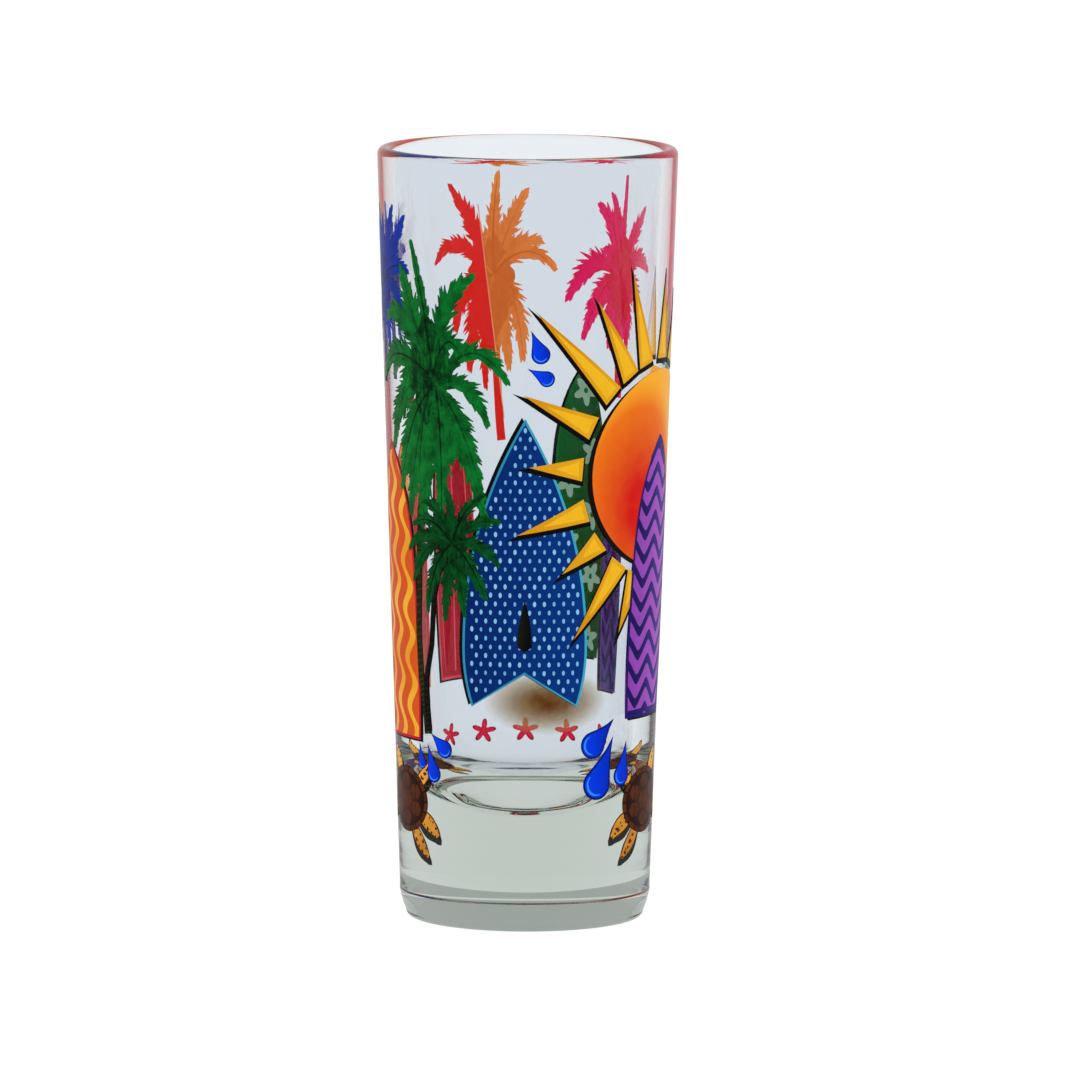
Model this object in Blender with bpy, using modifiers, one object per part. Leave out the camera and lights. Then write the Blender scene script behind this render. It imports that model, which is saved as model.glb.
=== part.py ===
"""A tall souvenir shot glass: one pressed glass body, and a fired enamel print of separate islands.

The glass stands on z = 0 with its axis on +Z, and its printed front faces -Y. The print is laid out flat,
as on a transfer sheet, and each island of enamel is cut from a thin tapered sleeve that fits the wall.
"""

import math

import bmesh
import bpy

MM = 0.001

# The glass.
HEIGHT = 101.6 * MM
RIM_RADIUS = 19.7 * MM
HEEL_RADIUS = 16.45 * MM
HEEL_HEIGHT = 3.65 * MM
HEEL_TUCK = 0.78 * MM
FOOT_ROUND = 0.8 * MM
RIM_WALL = 1.9 * MM
BASE_WALL = 2.9 * MM
FLOOR_THICKNESS = 13.5 * MM
FLOOR_SLOPE = 58.0
FLOOR_CORNER = 5.0 * MM
PUSH_UP_DEPTH = 0.9 * MM
FOOT_RING_WIDTH = 2.4 * MM

# The print. Its sheet is SHEET_HEIGHT tall and wraps once round a wall of SHEET_RADIUS.
PRINT_LOW_MARGIN = 3.35 * MM
PRINT_TOP_MARGIN = 4.6 * MM
ENAMEL_THICKNESS = 0.06 * MM
ENAMEL_GAP = 0.04 * MM
SHEET_HEIGHT = 90.0 * MM
SHEET_RADIUS = 18.0 * MM

# How finely the round shapes are cut.
WALL_SEGMENTS = 64
DISH_STEPS = 6
CORNER_STEPS = 4
LIP_STEPS = 8
HEEL_STEPS = 3
PUSH_UP_STEPS = 4
AXIS_MERGE = 0.01 * MM
CAP_WELD = 0.001 * MM

# Colour, roughness and metallic value of each finish.
FINISHES = {
    "clear_glass": ((0.90, 0.93, 0.94), 0.02, 0.0),
    "palm_green": ((0.01, 0.14, 0.02), 0.35, 0.0),
    "deep_green": ((0.005, 0.06, 0.02), 0.35, 0.0),
    "leaf_green": ((0.01, 0.16, 0.06), 0.35, 0.0),
    "orange": ((0.80, 0.20, 0.02), 0.35, 0.0),
    "magenta": ((0.60, 0.01, 0.08), 0.35, 0.0),
    "royal_blue": ((0.01, 0.05, 0.45), 0.35, 0.0),
    "sea_blue": ((0.01, 0.09, 0.28), 0.35, 0.0),
    "navy": ((0.02, 0.02, 0.16), 0.35, 0.0),
    "purple": ((0.22, 0.05, 0.40), 0.35, 0.0),
    "crimson": ((0.45, 0.01, 0.03), 0.35, 0.0),
    "sun_orange": ((0.85, 0.25, 0.02), 0.35, 0.0),
    "ray_yellow": ((0.80, 0.42, 0.03), 0.35, 0.0),
    "shell_brown": ((0.13, 0.05, 0.02), 0.35, 0.0),
    "sand": ((0.60, 0.42, 0.22), 0.35, 0.0),
}


def clear_scene():
    for obj in list(bpy.data.objects):
        bpy.data.objects.remove(obj)


def new_collection(name):
    collection = bpy.data.collections.new(name)
    bpy.context.scene.collection.children.link(collection)
    return collection


def new_material(name):
    colour, roughness, metallic = FINISHES[name]
    material = bpy.data.materials.new(name)
    material.use_nodes = True
    shader = material.node_tree.nodes["Principled BSDF"]
    shader.inputs["Base Color"].default_value = (*colour, 1.0)
    shader.inputs["Roughness"].default_value = roughness
    shader.inputs["Metallic"].default_value = metallic
    return material


def arc(centre, radius, start, end, steps):
    """Points along an arc, with both ends. Angles are in degrees, counter-clockwise from the first axis."""
    points = []
    for step in range(steps + 1):
        angle = math.radians(start + (end - start) * step / steps)
        points.append((centre[0] + radius * math.cos(angle), centre[1] + radius * math.sin(angle)))
    return points


# The glass body.


def lip_height():
    return HEIGHT - RIM_WALL / 2


def outer_radius(height):
    """The wall's outer radius at a height. It is straight from the heel to the lip."""
    share = (height - HEEL_HEIGHT) / (lip_height() - HEEL_HEIGHT)
    return HEEL_RADIUS + (RIM_RADIUS - HEEL_RADIUS) * share


def bowl_profile():
    """The bowl's inside from the axis to the lip: a dished floor, a round corner, then the straight wall.

    The dish is part of a sphere. It runs into the corner at FLOOR_SLOPE, which settles the sphere's radius,
    and the corner runs into the wall line, which leans out by the taper.
    """
    low_radius = outer_radius(FLOOR_THICKNESS) - BASE_WALL
    taper = (RIM_RADIUS - RIM_WALL - low_radius) / (lip_height() - FLOOR_THICKNESS)
    slope = math.radians(FLOOR_SLOPE)
    rise = math.tan(slope / 2)
    inset = FLOOR_CORNER * math.hypot(1.0, taper)
    corner_radius = (low_radius + taper * FLOOR_CORNER - inset) / (1 - taper * rise)
    corner = (corner_radius, FLOOR_THICKNESS + FLOOR_CORNER + corner_radius * rise)
    dish_radius = FLOOR_CORNER + corner_radius / math.sin(slope)
    dish_centre = (0.0, FLOOR_THICKNESS + dish_radius)
    dish_end = FLOOR_SLOPE - 90
    wall_start = -math.degrees(math.atan(taper))
    dish = arc(dish_centre, dish_radius, -90, dish_end, DISH_STEPS)
    return dish + arc(corner, FLOOR_CORNER, dish_end, wall_start, CORNER_STEPS)[1:]


def lip_profile():
    centre = (RIM_RADIUS - RIM_WALL / 2, lip_height())
    return arc(centre, RIM_WALL / 2, 180, 0, LIP_STEPS)


def heel_profile():
    """The heel turns in from the wall in a shallow curve, and a small round leads it on to the foot."""
    tucked = HEEL_RADIUS - HEEL_TUCK
    curve = []
    for step in range(HEEL_STEPS):
        share = step / HEEL_STEPS
        curve.append((HEEL_RADIUS - HEEL_TUCK * share**1.5, HEEL_HEIGHT + (FOOT_ROUND - HEEL_HEIGHT) * share))
    return curve + arc((tucked - FOOT_ROUND, FOOT_ROUND), FOOT_ROUND, 0, -90, HEEL_STEPS)


def push_up_radius():
    return HEEL_RADIUS - HEEL_TUCK - FOOT_ROUND - FOOT_RING_WIDTH


def underside_profile():
    """The hollow under the foot, from the foot ring to the axis."""
    points = []
    for step in range(PUSH_UP_STEPS + 1):
        share = 1 - step / PUSH_UP_STEPS
        points.append((push_up_radius() * share, PUSH_UP_DEPTH * (1 - share**2)))
    return points


def turned(name, profile, collection, closed=False):
    """A solid turned round +Z from a profile of (radius, height) points."""
    mesh = bpy.data.meshes.new(name)
    verts = [(radius, 0.0, height) for radius, height in profile]
    edges = [(index, index + 1) for index in range(len(verts) - 1)]
    if closed:
        edges.append((len(verts) - 1, 0))
    mesh.from_pydata(verts, edges, [])
    obj = bpy.data.objects.new(name, mesh)
    collection.objects.link(obj)
    screw = obj.modifiers.new("turn", "SCREW")
    screw.steps = WALL_SEGMENTS
    screw.render_steps = WALL_SEGMENTS
    screw.use_merge_vertices = True
    screw.merge_threshold = AXIS_MERGE
    return obj


def make_glass(collection):
    profile = bowl_profile() + lip_profile() + heel_profile() + underside_profile()
    body = turned("glass_body", profile, collection)
    body.data.materials.append(new_material("clear_glass"))
    return body


# The enamel print.


def print_height(sheet_y):
    """The height on the wall of a height on the sheet."""
    low = HEEL_HEIGHT + PRINT_LOW_MARGIN
    high = HEIGHT - PRINT_TOP_MARGIN
    return low + (high - low) * sheet_y / SHEET_HEIGHT


def middle_radius():
    return outer_radius((HEEL_HEIGHT + lip_height()) / 2)


def layer_offset(layer):
    """How far a layer of enamel stands off the wall."""
    return ENAMEL_GAP + layer * (ENAMEL_THICKNESS + ENAMEL_GAP)


def make_sleeve(layer, collection):
    """The tapered tube that one layer's islands are cut from. It runs past the print at both ends."""
    low = HEEL_HEIGHT
    high = lip_height()
    inner = layer_offset(layer)
    outer = inner + ENAMEL_THICKNESS
    profile = [
        (outer_radius(high) + outer, high),
        (outer_radius(low) + outer, low),
        (outer_radius(low) + inner, low),
        (outer_radius(high) + inner, high),
    ]
    sleeve = turned(f"sleeve_{layer}", profile, collection, closed=True)
    sleeve.hide_render = True
    sleeve.display_type = "WIRE"
    return sleeve


class Outline:
    """A flat outline on the sheet: (x, y) points round a place given by its turn and its height."""

    def __init__(self, turn, height, points):
        self.turn = turn
        self.height = height
        self.points = points

    def on_wall(self, point):
        """A sheet point seen square-on along the outline's own direction, as (across, up)."""
        height = print_height(self.height + point[1])
        radius = outer_radius(height)
        angle = point[0] / SHEET_RADIUS * middle_radius() / radius
        return (radius * math.sin(angle), height)


def outline_block(name, outline, collection):
    """The outline as a block that reaches from the axis out through the wall."""
    curve = bpy.data.curves.new(name, "CURVE")
    curve.dimensions = "2D"
    curve.fill_mode = "BOTH"
    curve.extrude = RIM_RADIUS / 2
    spline = curve.splines.new("POLY")
    spline.points.add(len(outline.points) - 1)
    for target, point in zip(spline.points, outline.points):
        across, up = outline.on_wall(point)
        target.co = (across, up, 0.0, 1.0)
    spline.use_cyclic_u = True
    guide = bpy.data.objects.new(f"{name}_guide", curve)
    collection.objects.link(guide)
    turn = math.radians(outline.turn)
    reach = RIM_RADIUS * 3 / 4
    guide.rotation_euler = (math.pi / 2, 0.0, turn)
    guide.location = (reach * math.sin(turn), -reach * math.cos(turn), 0.0)
    bpy.context.view_layer.update()
    graph = bpy.context.evaluated_depsgraph_get()
    mesh = bpy.data.meshes.new_from_object(guide.evaluated_get(graph))
    welded = bmesh.new()
    welded.from_mesh(mesh)
    bmesh.ops.remove_doubles(welded, verts=welded.verts, dist=CAP_WELD)
    bmesh.ops.recalc_face_normals(welded, faces=welded.faces)
    welded.to_mesh(mesh)
    welded.free()
    block = bpy.data.objects.new(name, mesh)
    block.matrix_world = guide.matrix_world
    collection.objects.link(block)
    bpy.data.objects.remove(guide)
    return block


class Printer:
    """Cuts each island of enamel from the sleeve of its layer."""

    def __init__(self, parts, cutters):
        self.parts = parts
        self.cutters = cutters
        self.sleeves = {}

    def sleeve(self, layer):
        if layer not in self.sleeves:
            self.sleeves[layer] = make_sleeve(layer, self.cutters)
        return self.sleeves[layer]

    def island(self, name, finish, outline, layer=0):
        block = outline_block(name, outline, self.parts)
        cut = block.modifiers.new("fit_to_wall", "BOOLEAN")
        cut.operation = "INTERSECT"
        cut.solver = "EXACT"
        cut.object = self.sleeve(layer)
        block.data.materials.append(new_material(finish))
        return block


# Outlines on the sheet, in metres, round the place that each is printed at.


def blade(start, length, droop, width, steps=3):
    """A palm frond from the crown outwards: its right side, its tip and its left side."""
    left = []
    right = []
    x = 0.0
    y = 0.0
    for step in range(steps):
        share = step / steps
        heading = math.radians(start + droop * share)
        half = width / 2 * (1 - share**2)
        if step:
            left.append((x - half * math.sin(heading), y + half * math.cos(heading)))
            right.append((x + half * math.sin(heading), y - half * math.cos(heading)))
        x += length / steps * math.cos(heading)
        y += length / steps * math.sin(heading)
    return right + [(x, y)] + left[::-1]


def palm(size, trunk_reach, trunk_lean, fronds=7, lowest=-28.0, droop=55.0):
    """A palm round its crown. The fronds fan out from low right to low left, and their ends bend down."""
    crown = 0.16 * size
    width = 0.20 * size
    half_trunk = 0.05 * size
    spread = (180 - 2 * lowest) / (fronds - 1)
    points = []
    for index in range(fronds):
        start = lowest + spread * index
        uprightness = math.sin(math.radians(start))
        length = size * (0.85 + 0.15 * uprightness)
        points += blade(start, length, -droop * math.cos(math.radians(start)), width)
        if index < fronds - 1:
            between = math.radians(start + spread / 2)
            points.append((crown * math.cos(between), crown * math.sin(between)))
    foot = (trunk_lean, -trunk_reach)
    points += [(-half_trunk, -crown), (foot[0] - half_trunk, foot[1])]
    points += [(foot[0] + half_trunk, foot[1]), (half_trunk, -crown)]
    return points


def board(width, length, notch=0.0, lean=0.0, steps=8):
    """A surfboard on its tail. A notch makes it a fish tail, and a lean tips its nose sideways."""
    widest = 0.35
    tail_share = 0.82
    rail = []
    for step in range(steps):
        share = step / steps
        if share < widest:
            half = width / 2 * (1 - (1 - tail_share) * ((widest - share) / widest) ** 2)
        else:
            half = width / 2 * (1 - ((share - widest) / (1 - widest)) ** 2.4)
        rail.append((half, length * share))
    tail = [(0.0, notch)] if notch else []
    points = tail + rail + [(0.0, length)] + [(-x, y) for x, y in rail[::-1]]
    return [(x + lean * y, y) for x, y in points]


def ellipse(half_width, half_height, steps=24):
    return [(x * half_width, y * half_height) for x, y in arc((0.0, 0.0), 1.0, 0, 360, steps)[:-1]]


def ray(angle, near, far, width):
    """A sun ray that stands clear of the disc and narrows to a point."""
    turn = math.radians(angle)
    side = (-math.sin(turn) * width / 2, math.cos(turn) * width / 2)
    base = (near * math.cos(turn), near * math.sin(turn))
    tip = (far * math.cos(turn), far * math.sin(turn))
    return [(base[0] - side[0], base[1] - side[1]), tip, (base[0] + side[0], base[1] + side[1])]


def drop(radius, tip_reach, tip_angle, steps=10):
    """A drop of water: a round bulb, and a tip in the direction of its angle."""
    shoulder = math.degrees(math.acos(radius / tip_reach))
    bulb = arc((0.0, 0.0), radius, tip_angle + shoulder, tip_angle + 360 - shoulder, steps)
    turn = math.radians(tip_angle)
    return bulb + [(tip_reach * math.cos(turn), tip_reach * math.sin(turn))]


def starfish(radius, arms=5, steps=20):
    points = []
    for step in range(steps):
        angle = 2 * math.pi * step / steps + math.pi / 2
        reach = radius * (0.68 + 0.32 * math.cos(arms * (angle - math.pi / 2)))
        points.append((reach * math.cos(angle), reach * math.sin(angle)))
    return points


def turtle(side, steps=36):
    """A sea turtle from above: an oval shell, with a head and four flippers that swell out of its rim."""
    half_width = 5.2 * MM
    half_height = 4.4 * MM
    # Direction, reach beyond the shell and half-width in degrees of the head and each flipper.
    limbs = ((120, 3.4, 16), (35, 3.2, 15), (190, 3.2, 15), (-28, 3.4, 13), (-62, 4.6, 11))
    points = []
    for step in range(steps):
        angle = 360 * step / steps
        turn = math.radians(angle)
        flat = math.hypot(half_height * math.cos(turn), half_width * math.sin(turn))
        reach = half_width * half_height / flat
        for direction, length, spread in limbs:
            away = (angle - direction + 180) % 360 - 180
            reach += length * MM * math.exp(-((away / spread) ** 2))
        points.append((side * reach * math.cos(turn), reach * math.sin(turn)))
    return points


# The artwork: each place is a turn round the glass in degrees, and a height on the sheet.


def print_palms(printer):
    # Finish, turn, height, size, reach and lean of the trunk, and layer.
    palms = {
        "palm_green_tall": ("palm_green", -41, 66, 14, 44, -3, 2),
        "palm_green_short": ("deep_green", -33, 45, 8.5, 23, -5, 3),
        "palm_orange": ("orange", -165, 74.5, 12.5, 17, 0, 0),
        "palm_magenta": ("magenta", 134, 75, 12, 10, 0, 0),
        "palm_blue": ("royal_blue", -79, 77, 10, 13, 0, 0),
    }
    for name, (finish, turn, height, size, trunk, lean, layer) in palms.items():
        points = palm(size * MM, trunk * MM, lean * MM)
        printer.island(name, finish, Outline(turn, height * MM, points), layer)


def print_boards(printer):
    centre = board(16.8 * MM, 38 * MM, notch=4.4 * MM)
    printer.island("board_blue", "sea_blue", Outline(-0.5, 22.8 * MM, centre), 1)
    right = board(10.5 * MM, 37 * MM, lean=0.05)
    printer.island("board_purple", "purple", Outline(64, 20.6 * MM, right), 4)
    left = board(10.5 * MM, 39 * MM, lean=-0.04)
    printer.island("board_orange", "orange", Outline(-68, 17.6 * MM, left))
    printer.island("board_green", "leaf_green", Outline(153, 24 * MM, board(7.4 * MM, 39 * MM)))
    printer.island("board_red_left", "crimson", Outline(-141, 21.3 * MM, board(8 * MM, 38 * MM)))
    printer.island("board_red_back", "crimson", Outline(-106, 21 * MM, board(8 * MM, 41 * MM)))
    printer.island("board_navy", "navy", Outline(131, 20 * MM, board(4.6 * MM, 38 * MM)))


def print_sun(printer):
    turn = 68
    height = 53.3 * MM
    disc = 12.9 * MM
    ray_gap = 1.4 * MM
    ray_width = 3.4 * MM
    printer.island("sun_disc", "sun_orange", Outline(turn, height, ellipse(disc, disc)), 3)
    # The direction of each ray from the sun's middle, and how far its tip reaches.
    rays = ((72, 23), (88, 25), (106, 27), (120, 26), (135, 30.5), (155, 25))
    rays += ((177, 21.5), (199, 24), (218, 21), (236, 26), (250, 22.5))
    for index, (angle, tip) in enumerate(rays, start=1):
        # A ray is drawn round a place of its own, so that its block meets the wall squarely.
        middle = (disc + ray_gap + tip * MM) / 2
        across = middle * math.cos(math.radians(angle))
        up = middle * math.sin(math.radians(angle))
        points = ray(angle, disc + ray_gap - middle, tip * MM - middle, ray_width)
        outline = Outline(turn + math.degrees(across / SHEET_RADIUS), height + up, points)
        printer.island(f"sun_ray_{index:02d}", "ray_yellow", outline, 2)


def print_drops(printer):
    # Turn, height, bulb radius, reach of the tip and the tip's direction.
    drops = {
        "drop_right_upper": (31, 17.6, 1.8, 4.6, 45),
        "drop_right_lower": (33.5, 12.4, 2.1, 6.6, 68),
        "drop_right_small": (47.5, 13.2, 1.4, 4.6, 80),
        "drop_left_large": (-44.5, 13.4, 1.2, 4.0, 105),
        "drop_left_small": (-52, 14.6, 0.8, 2.6, 100),
        "drop_left_upper": (-38, 16.8, 1.2, 3.0, 140),
        "drop_top_upper": (5.5, 69.2, 1.0, 2.6, 120),
        "drop_top_lower": (8.0, 66.2, 0.9, 2.4, 160),
    }
    for name, (turn, height, radius, reach, angle) in drops.items():
        points = drop(radius * MM, reach * MM, angle)
        printer.island(name, "royal_blue", Outline(turn, height * MM, points), 1)


def print_shore(printer):
    """The sand under the middle board, a turtle at each side and a row of starfish round the back."""
    printer.island("sand_patch", "sand", Outline(16.5, 23 * MM, ellipse(8.4 * MM, 4.3 * MM)))
    printer.island("turtle_left", "shell_brown", Outline(-70, 9.4 * MM, turtle(1)))
    printer.island("turtle_right", "shell_brown", Outline(70, 9.4 * MM, turtle(-1)))
    row = 5
    pitch = 22.5
    for index in range(row):
        turn = 180 + pitch * (index - (row - 1) / 2)
        outline = Outline(turn, 13.3 * MM, starfish(1.7 * MM))
        printer.island(f"starfish_{index + 1}", "crimson", outline)


def main():
    clear_scene()
    parts = new_collection("shot_glass")
    cutters = new_collection("cutters")
    make_glass(parts)
    printer = Printer(parts, cutters)
    print_palms(printer)
    print_boards(printer)
    print_sun(printer)
    print_drops(printer)
    print_shore(printer)


main()
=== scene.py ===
"""Looks of a tall souvenir shot glass: the pressed body, its fired enamel beach print and a plain studio.

The glass stands on z = 0 with its axis on +Z, and its printed front faces -Y. The print is drawn flat, in
metres to the right (x) and up (y) of a place on the wall, and each piece is then laid round the tapered wall
as a thin closed film. A film reaches a little into the glass, so that it's in contact with it, and it shows
from both sides.
"""

import logging
import math
from dataclasses import dataclass, field
from enum import Enum
from functools import cache
from typing import Callable, Optional, Sequence, Union

import bmesh
import bpy
import numpy as np
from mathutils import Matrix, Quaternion, Vector


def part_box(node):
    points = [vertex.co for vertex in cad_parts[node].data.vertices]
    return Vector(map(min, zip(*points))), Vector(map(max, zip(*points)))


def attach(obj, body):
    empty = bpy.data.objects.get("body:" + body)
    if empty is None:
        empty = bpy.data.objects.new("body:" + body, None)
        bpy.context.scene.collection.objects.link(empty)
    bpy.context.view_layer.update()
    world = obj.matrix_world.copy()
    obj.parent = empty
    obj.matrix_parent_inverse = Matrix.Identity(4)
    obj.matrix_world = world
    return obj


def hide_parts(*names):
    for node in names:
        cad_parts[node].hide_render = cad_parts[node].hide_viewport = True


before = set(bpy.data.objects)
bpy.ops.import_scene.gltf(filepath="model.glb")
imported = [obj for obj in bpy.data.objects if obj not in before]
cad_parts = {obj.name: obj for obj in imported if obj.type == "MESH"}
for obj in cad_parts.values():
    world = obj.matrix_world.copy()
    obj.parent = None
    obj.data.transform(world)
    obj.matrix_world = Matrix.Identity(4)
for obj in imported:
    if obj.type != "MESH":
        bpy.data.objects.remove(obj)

log = logging.getLogger("shot_glass")

MM = 0.001
ROOT = "root"
Point = tuple[float, float]
Place = tuple[float, float, float]
Socket = bpy.types.NodeSocket
Colour = tuple[float, float, float]
Tone = Union[float, Callable[[float, float], float]]


# ---------------------------------------------------------------- small helpers


def add_sockets(tree: bpy.types.NodeTree, kinds: Sequence[tuple[str, str]], in_out: str = "INPUT") -> None:
    """Adds named sockets to a group or a geometry tree.

    Args:
        tree: The tree.
        kinds: Each socket's name, and its kind, such as Float or Color.
        in_out: INPUT or OUTPUT.
    """
    for name, kind in kinds:
        tree.interface.new_socket(name, in_out=in_out, socket_type=f"NodeSocket{kind}")


class NodeMaker:
    """Adds nodes to one tree, and links or sets what goes into them."""

    def __init__(self, tree: bpy.types.NodeTree) -> None:
        """Keeps the tree.

        Args:
            tree: The shader or geometry node tree to add to.
        """
        self.tree = tree

    def add(self, kind: str, inputs: Optional[dict] = None, **settings: object) -> bpy.types.Node:
        """Adds one node.

        Args:
            kind: The node's type name.
            inputs: Socket name or number to a value, or to the socket that feeds it.
            **settings: The node's own properties.

        Returns:
            The new node.
        """
        node = self.tree.nodes.new(kind)
        for name, value in settings.items():
            setattr(node, name, value)
        for key, value in (inputs or {}).items():
            if isinstance(value, Socket):
                self.tree.links.new(value, node.inputs[key])
            else:
                node.inputs[key].default_value = value
        return node

    def maths(self, operation: str, *values: object) -> Socket:
        """One step of arithmetic, in a shader or a geometry tree.

        Args:
            operation: The Math node's operation.
            *values: Numbers or sockets.

        Returns:
            The socket with the result.
        """
        node = self.add("ShaderNodeMath", dict(enumerate(values)), operation=operation)
        return node.outputs[0]

    def blend(self, factor: object, first: object, second: object) -> Socket:
        """A mix of two colours.

        Args:
            factor: A number or a socket, 0 for the first colour.
            first: A colour or a socket.
            second: A colour or a socket.

        Returns:
            The socket with the mixed colour.
        """
        node = self.add("ShaderNodeMix", {0: factor, 6: first, 7: second}, data_type="RGBA")
        return node.outputs[2]

    def noise(self, place: Socket, scale: float, detail: float) -> Socket:
        """A noise texture.

        Args:
            place: The position to read it at.
            scale: How fine it is.
            detail: How many finer layers it has.

        Returns:
            The socket with its value.
        """
        return self.add("ShaderNodeTexNoise", {"Vector": place, "Scale": scale, "Detail": detail}).outputs[0]

    def random(self, low: float, high: float, seed: object) -> Socket:
        """A random number for each point of a geometry tree.

        Args:
            low: The least it may be.
            high: The most it may be.
            seed: A whole number or a socket.

        Returns:
            The socket with the number.
        """
        node = self.add("FunctionNodeRandomValue", {2: low, 3: high, 8: seed}, data_type="FLOAT")
        return node.outputs[1]

    def product(self, *values: object) -> Socket:
        """The product of two or more numbers or sockets.

        Args:
            *values: The numbers or sockets.

        Returns:
            The socket with the product.
        """
        result = values[0]
        for value in values[1:]:
            result = self.maths("MULTIPLY", result, value)
        return result

    def sum(self, *values: object) -> Socket:
        """The sum of two or more numbers or sockets.

        Args:
            *values: The numbers or sockets.

        Returns:
            The socket with the sum.
        """
        result = values[0]
        for value in values[1:]:
            result = self.maths("ADD", result, value)
        return result

    def vector(self, *values: object) -> Socket:
        """A vector of up to three numbers or sockets."""
        return self.add("ShaderNodeCombineXYZ", dict(enumerate(values))).outputs[0]

    def stored(self, name: str) -> Socket:
        """A number that is stored on the mesh under this name."""
        return self.add("GeometryNodeInputNamedAttribute", {"Name": name}, data_type="FLOAT").outputs[0]

    def toned(self, instances: Socket, tone: Socket) -> Socket:
        """Stores a tone on each instance.

        Args:
            instances: The instances.
            tone: Their tone.

        Returns:
            The socket with the instances.
        """
        values = {"Geometry": instances, "Name": "tone", "Value": tone}
        node = self.add("GeometryNodeStoreNamedAttribute", values, data_type="FLOAT", domain="INSTANCE")
        return node.outputs[0]

    def put_out(self, instances: Socket, enamel: Socket) -> None:
        """Makes the instances real, gives them their enamel and puts them out.

        Args:
            instances: The instances.
            enamel: The socket with the material.
        """
        real = self.add("GeometryNodeRealizeInstances", {0: instances})
        inked = self.add("GeometryNodeSetMaterial", {0: real.outputs[0], "Material": enamel})
        self.add("NodeGroupOutput", {0: inked.outputs[0]})

    def turn(self, angle: Socket) -> Socket:
        """A turn in the sheet's plane by an angle in radians."""
        return self.add("FunctionNodeEulerToRotation", {0: self.vector(0.0, 0.0, angle)}).outputs[0]


def rgba(colour: Colour) -> tuple[float, float, float, float]:
    """A colour with full alpha."""
    return (*colour, 1.0)


def new_object(name: str, data: bpy.types.ID) -> bpy.types.Object:
    """A new object at the origin, linked to the scene.

    Args:
        name: Its name.
        data: Its mesh, light or camera.

    Returns:
        The object.
    """
    obj = bpy.data.objects.new(name, data)
    bpy.context.scene.collection.objects.link(obj)
    return obj


def new_material(name: str) -> tuple[bpy.types.Material, NodeMaker, bpy.types.Node]:
    """A new node material.

    Args:
        name: Its name.

    Returns:
        The material, a node maker for its tree, and its shader.
    """
    material = bpy.data.materials.new(name)
    material.use_nodes = True
    return material, NodeMaker(material.node_tree), material.node_tree.nodes["Principled BSDF"]


def evaluated_mesh(obj: bpy.types.Object, name: str) -> bpy.types.Mesh:
    """The mesh an object's modifiers make, as plain data. The object itself is removed.

    Args:
        obj: The object with its modifiers.
        name: The new mesh's name.

    Returns:
        The plain mesh.
    """
    bpy.context.view_layer.update()
    graph = bpy.context.evaluated_depsgraph_get()
    mesh = bpy.data.meshes.new_from_object(obj.evaluated_get(graph))
    mesh.name = name
    bpy.data.objects.remove(obj)
    return mesh


def store(mesh: bpy.types.Mesh, name: str, values: Sequence[float]) -> None:
    """Stores a number on each point of a mesh."""
    mesh.attributes.new(name, "FLOAT", "POINT").data.foreach_set("value", values)


def arc(centre: Point, radius: float, start: float, end: float, steps: int) -> list[Point]:
    """Points along an arc.

    Args:
        centre: The arc's centre.
        radius: Its radius.
        start: The first point's angle in degrees.
        end: The last point's angle in degrees.
        steps: How many chords to cut it in.

    Returns:
        The points, with both ends.
    """
    points = []
    for step in range(steps + 1):
        turn = math.radians(start + (end - start) * step / steps)
        points.append((centre[0] + radius * math.cos(turn), centre[1] + radius * math.sin(turn)))
    return points


def circle(radius: float, corners: int) -> list[Point]:
    """The corners of a circle about the origin."""
    return arc((0.0, 0.0), radius, 0, 360, corners)[:-1]


def moved(points: Sequence[Point], across: float, up: float) -> list[Point]:
    """The same outline, moved."""
    return [(x + across, y + up) for x, y in points]


def turned(points: Sequence[Point], degrees: float) -> list[Point]:
    """The same outline, turned round its own origin."""
    cos, sin = math.cos(math.radians(degrees)), math.sin(math.radians(degrees))
    return [(x * cos - y * sin, x * sin + y * cos) for x, y in points]


# ---------------------------------------------------------------- finishes


class Pattern(Enum):
    """How an enamel's second colour spreads over the first."""

    PLAIN = "plain"
    SPLIT = "split"
    SUN = "sun"
    SAND = "sand"
    SHADOW = "shadow"


@cache
def airbrush_group() -> bpy.types.NodeTree:
    """The effect that every enamel shares: two tones with a sprayed edge between them, and a fired surface.

    Returns:
        The group, made once, with the colour, the roughness and the height of the grain as its outputs.
    """
    group = bpy.data.node_groups.new("fired_airbrush", "ShaderNodeTree")
    add_sockets(group, (("Position", "Vector"), ("Dark", "Color"), ("Light", "Color"), ("Tone", "Float"),
                        ("Spray", "Float"), ("Gloss", "Float")))
    add_sockets(group, (("Color", "Color"), ("Roughness", "Float"), ("Height", "Float")), "OUTPUT")
    make = NodeMaker(group)
    given = make.add("NodeGroupInput")
    cloud = make.noise(given.outputs["Position"], 0.55, 2.0)
    speck = make.noise(given.outputs["Position"], 9.0, 3.0)
    swing = make.maths("SUBTRACT", cloud, 0.5)
    grain = make.maths("SUBTRACT", speck, 0.5)
    sprayed = make.maths("MULTIPLY", make.maths("ADD", swing, grain), given.outputs["Spray"])
    tone = make.maths("ADD", given.outputs["Tone"], sprayed)
    clamped = make.add("ShaderNodeClamp", {0: tone}).outputs[0]
    colour = make.blend(clamped, given.outputs["Dark"], given.outputs["Light"])
    rough = make.maths("MULTIPLY_ADD", speck, 0.12, given.outputs["Gloss"])
    make.add("NodeGroupOutput", {"Color": colour, "Roughness": rough, "Height": speck})
    return group


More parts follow.
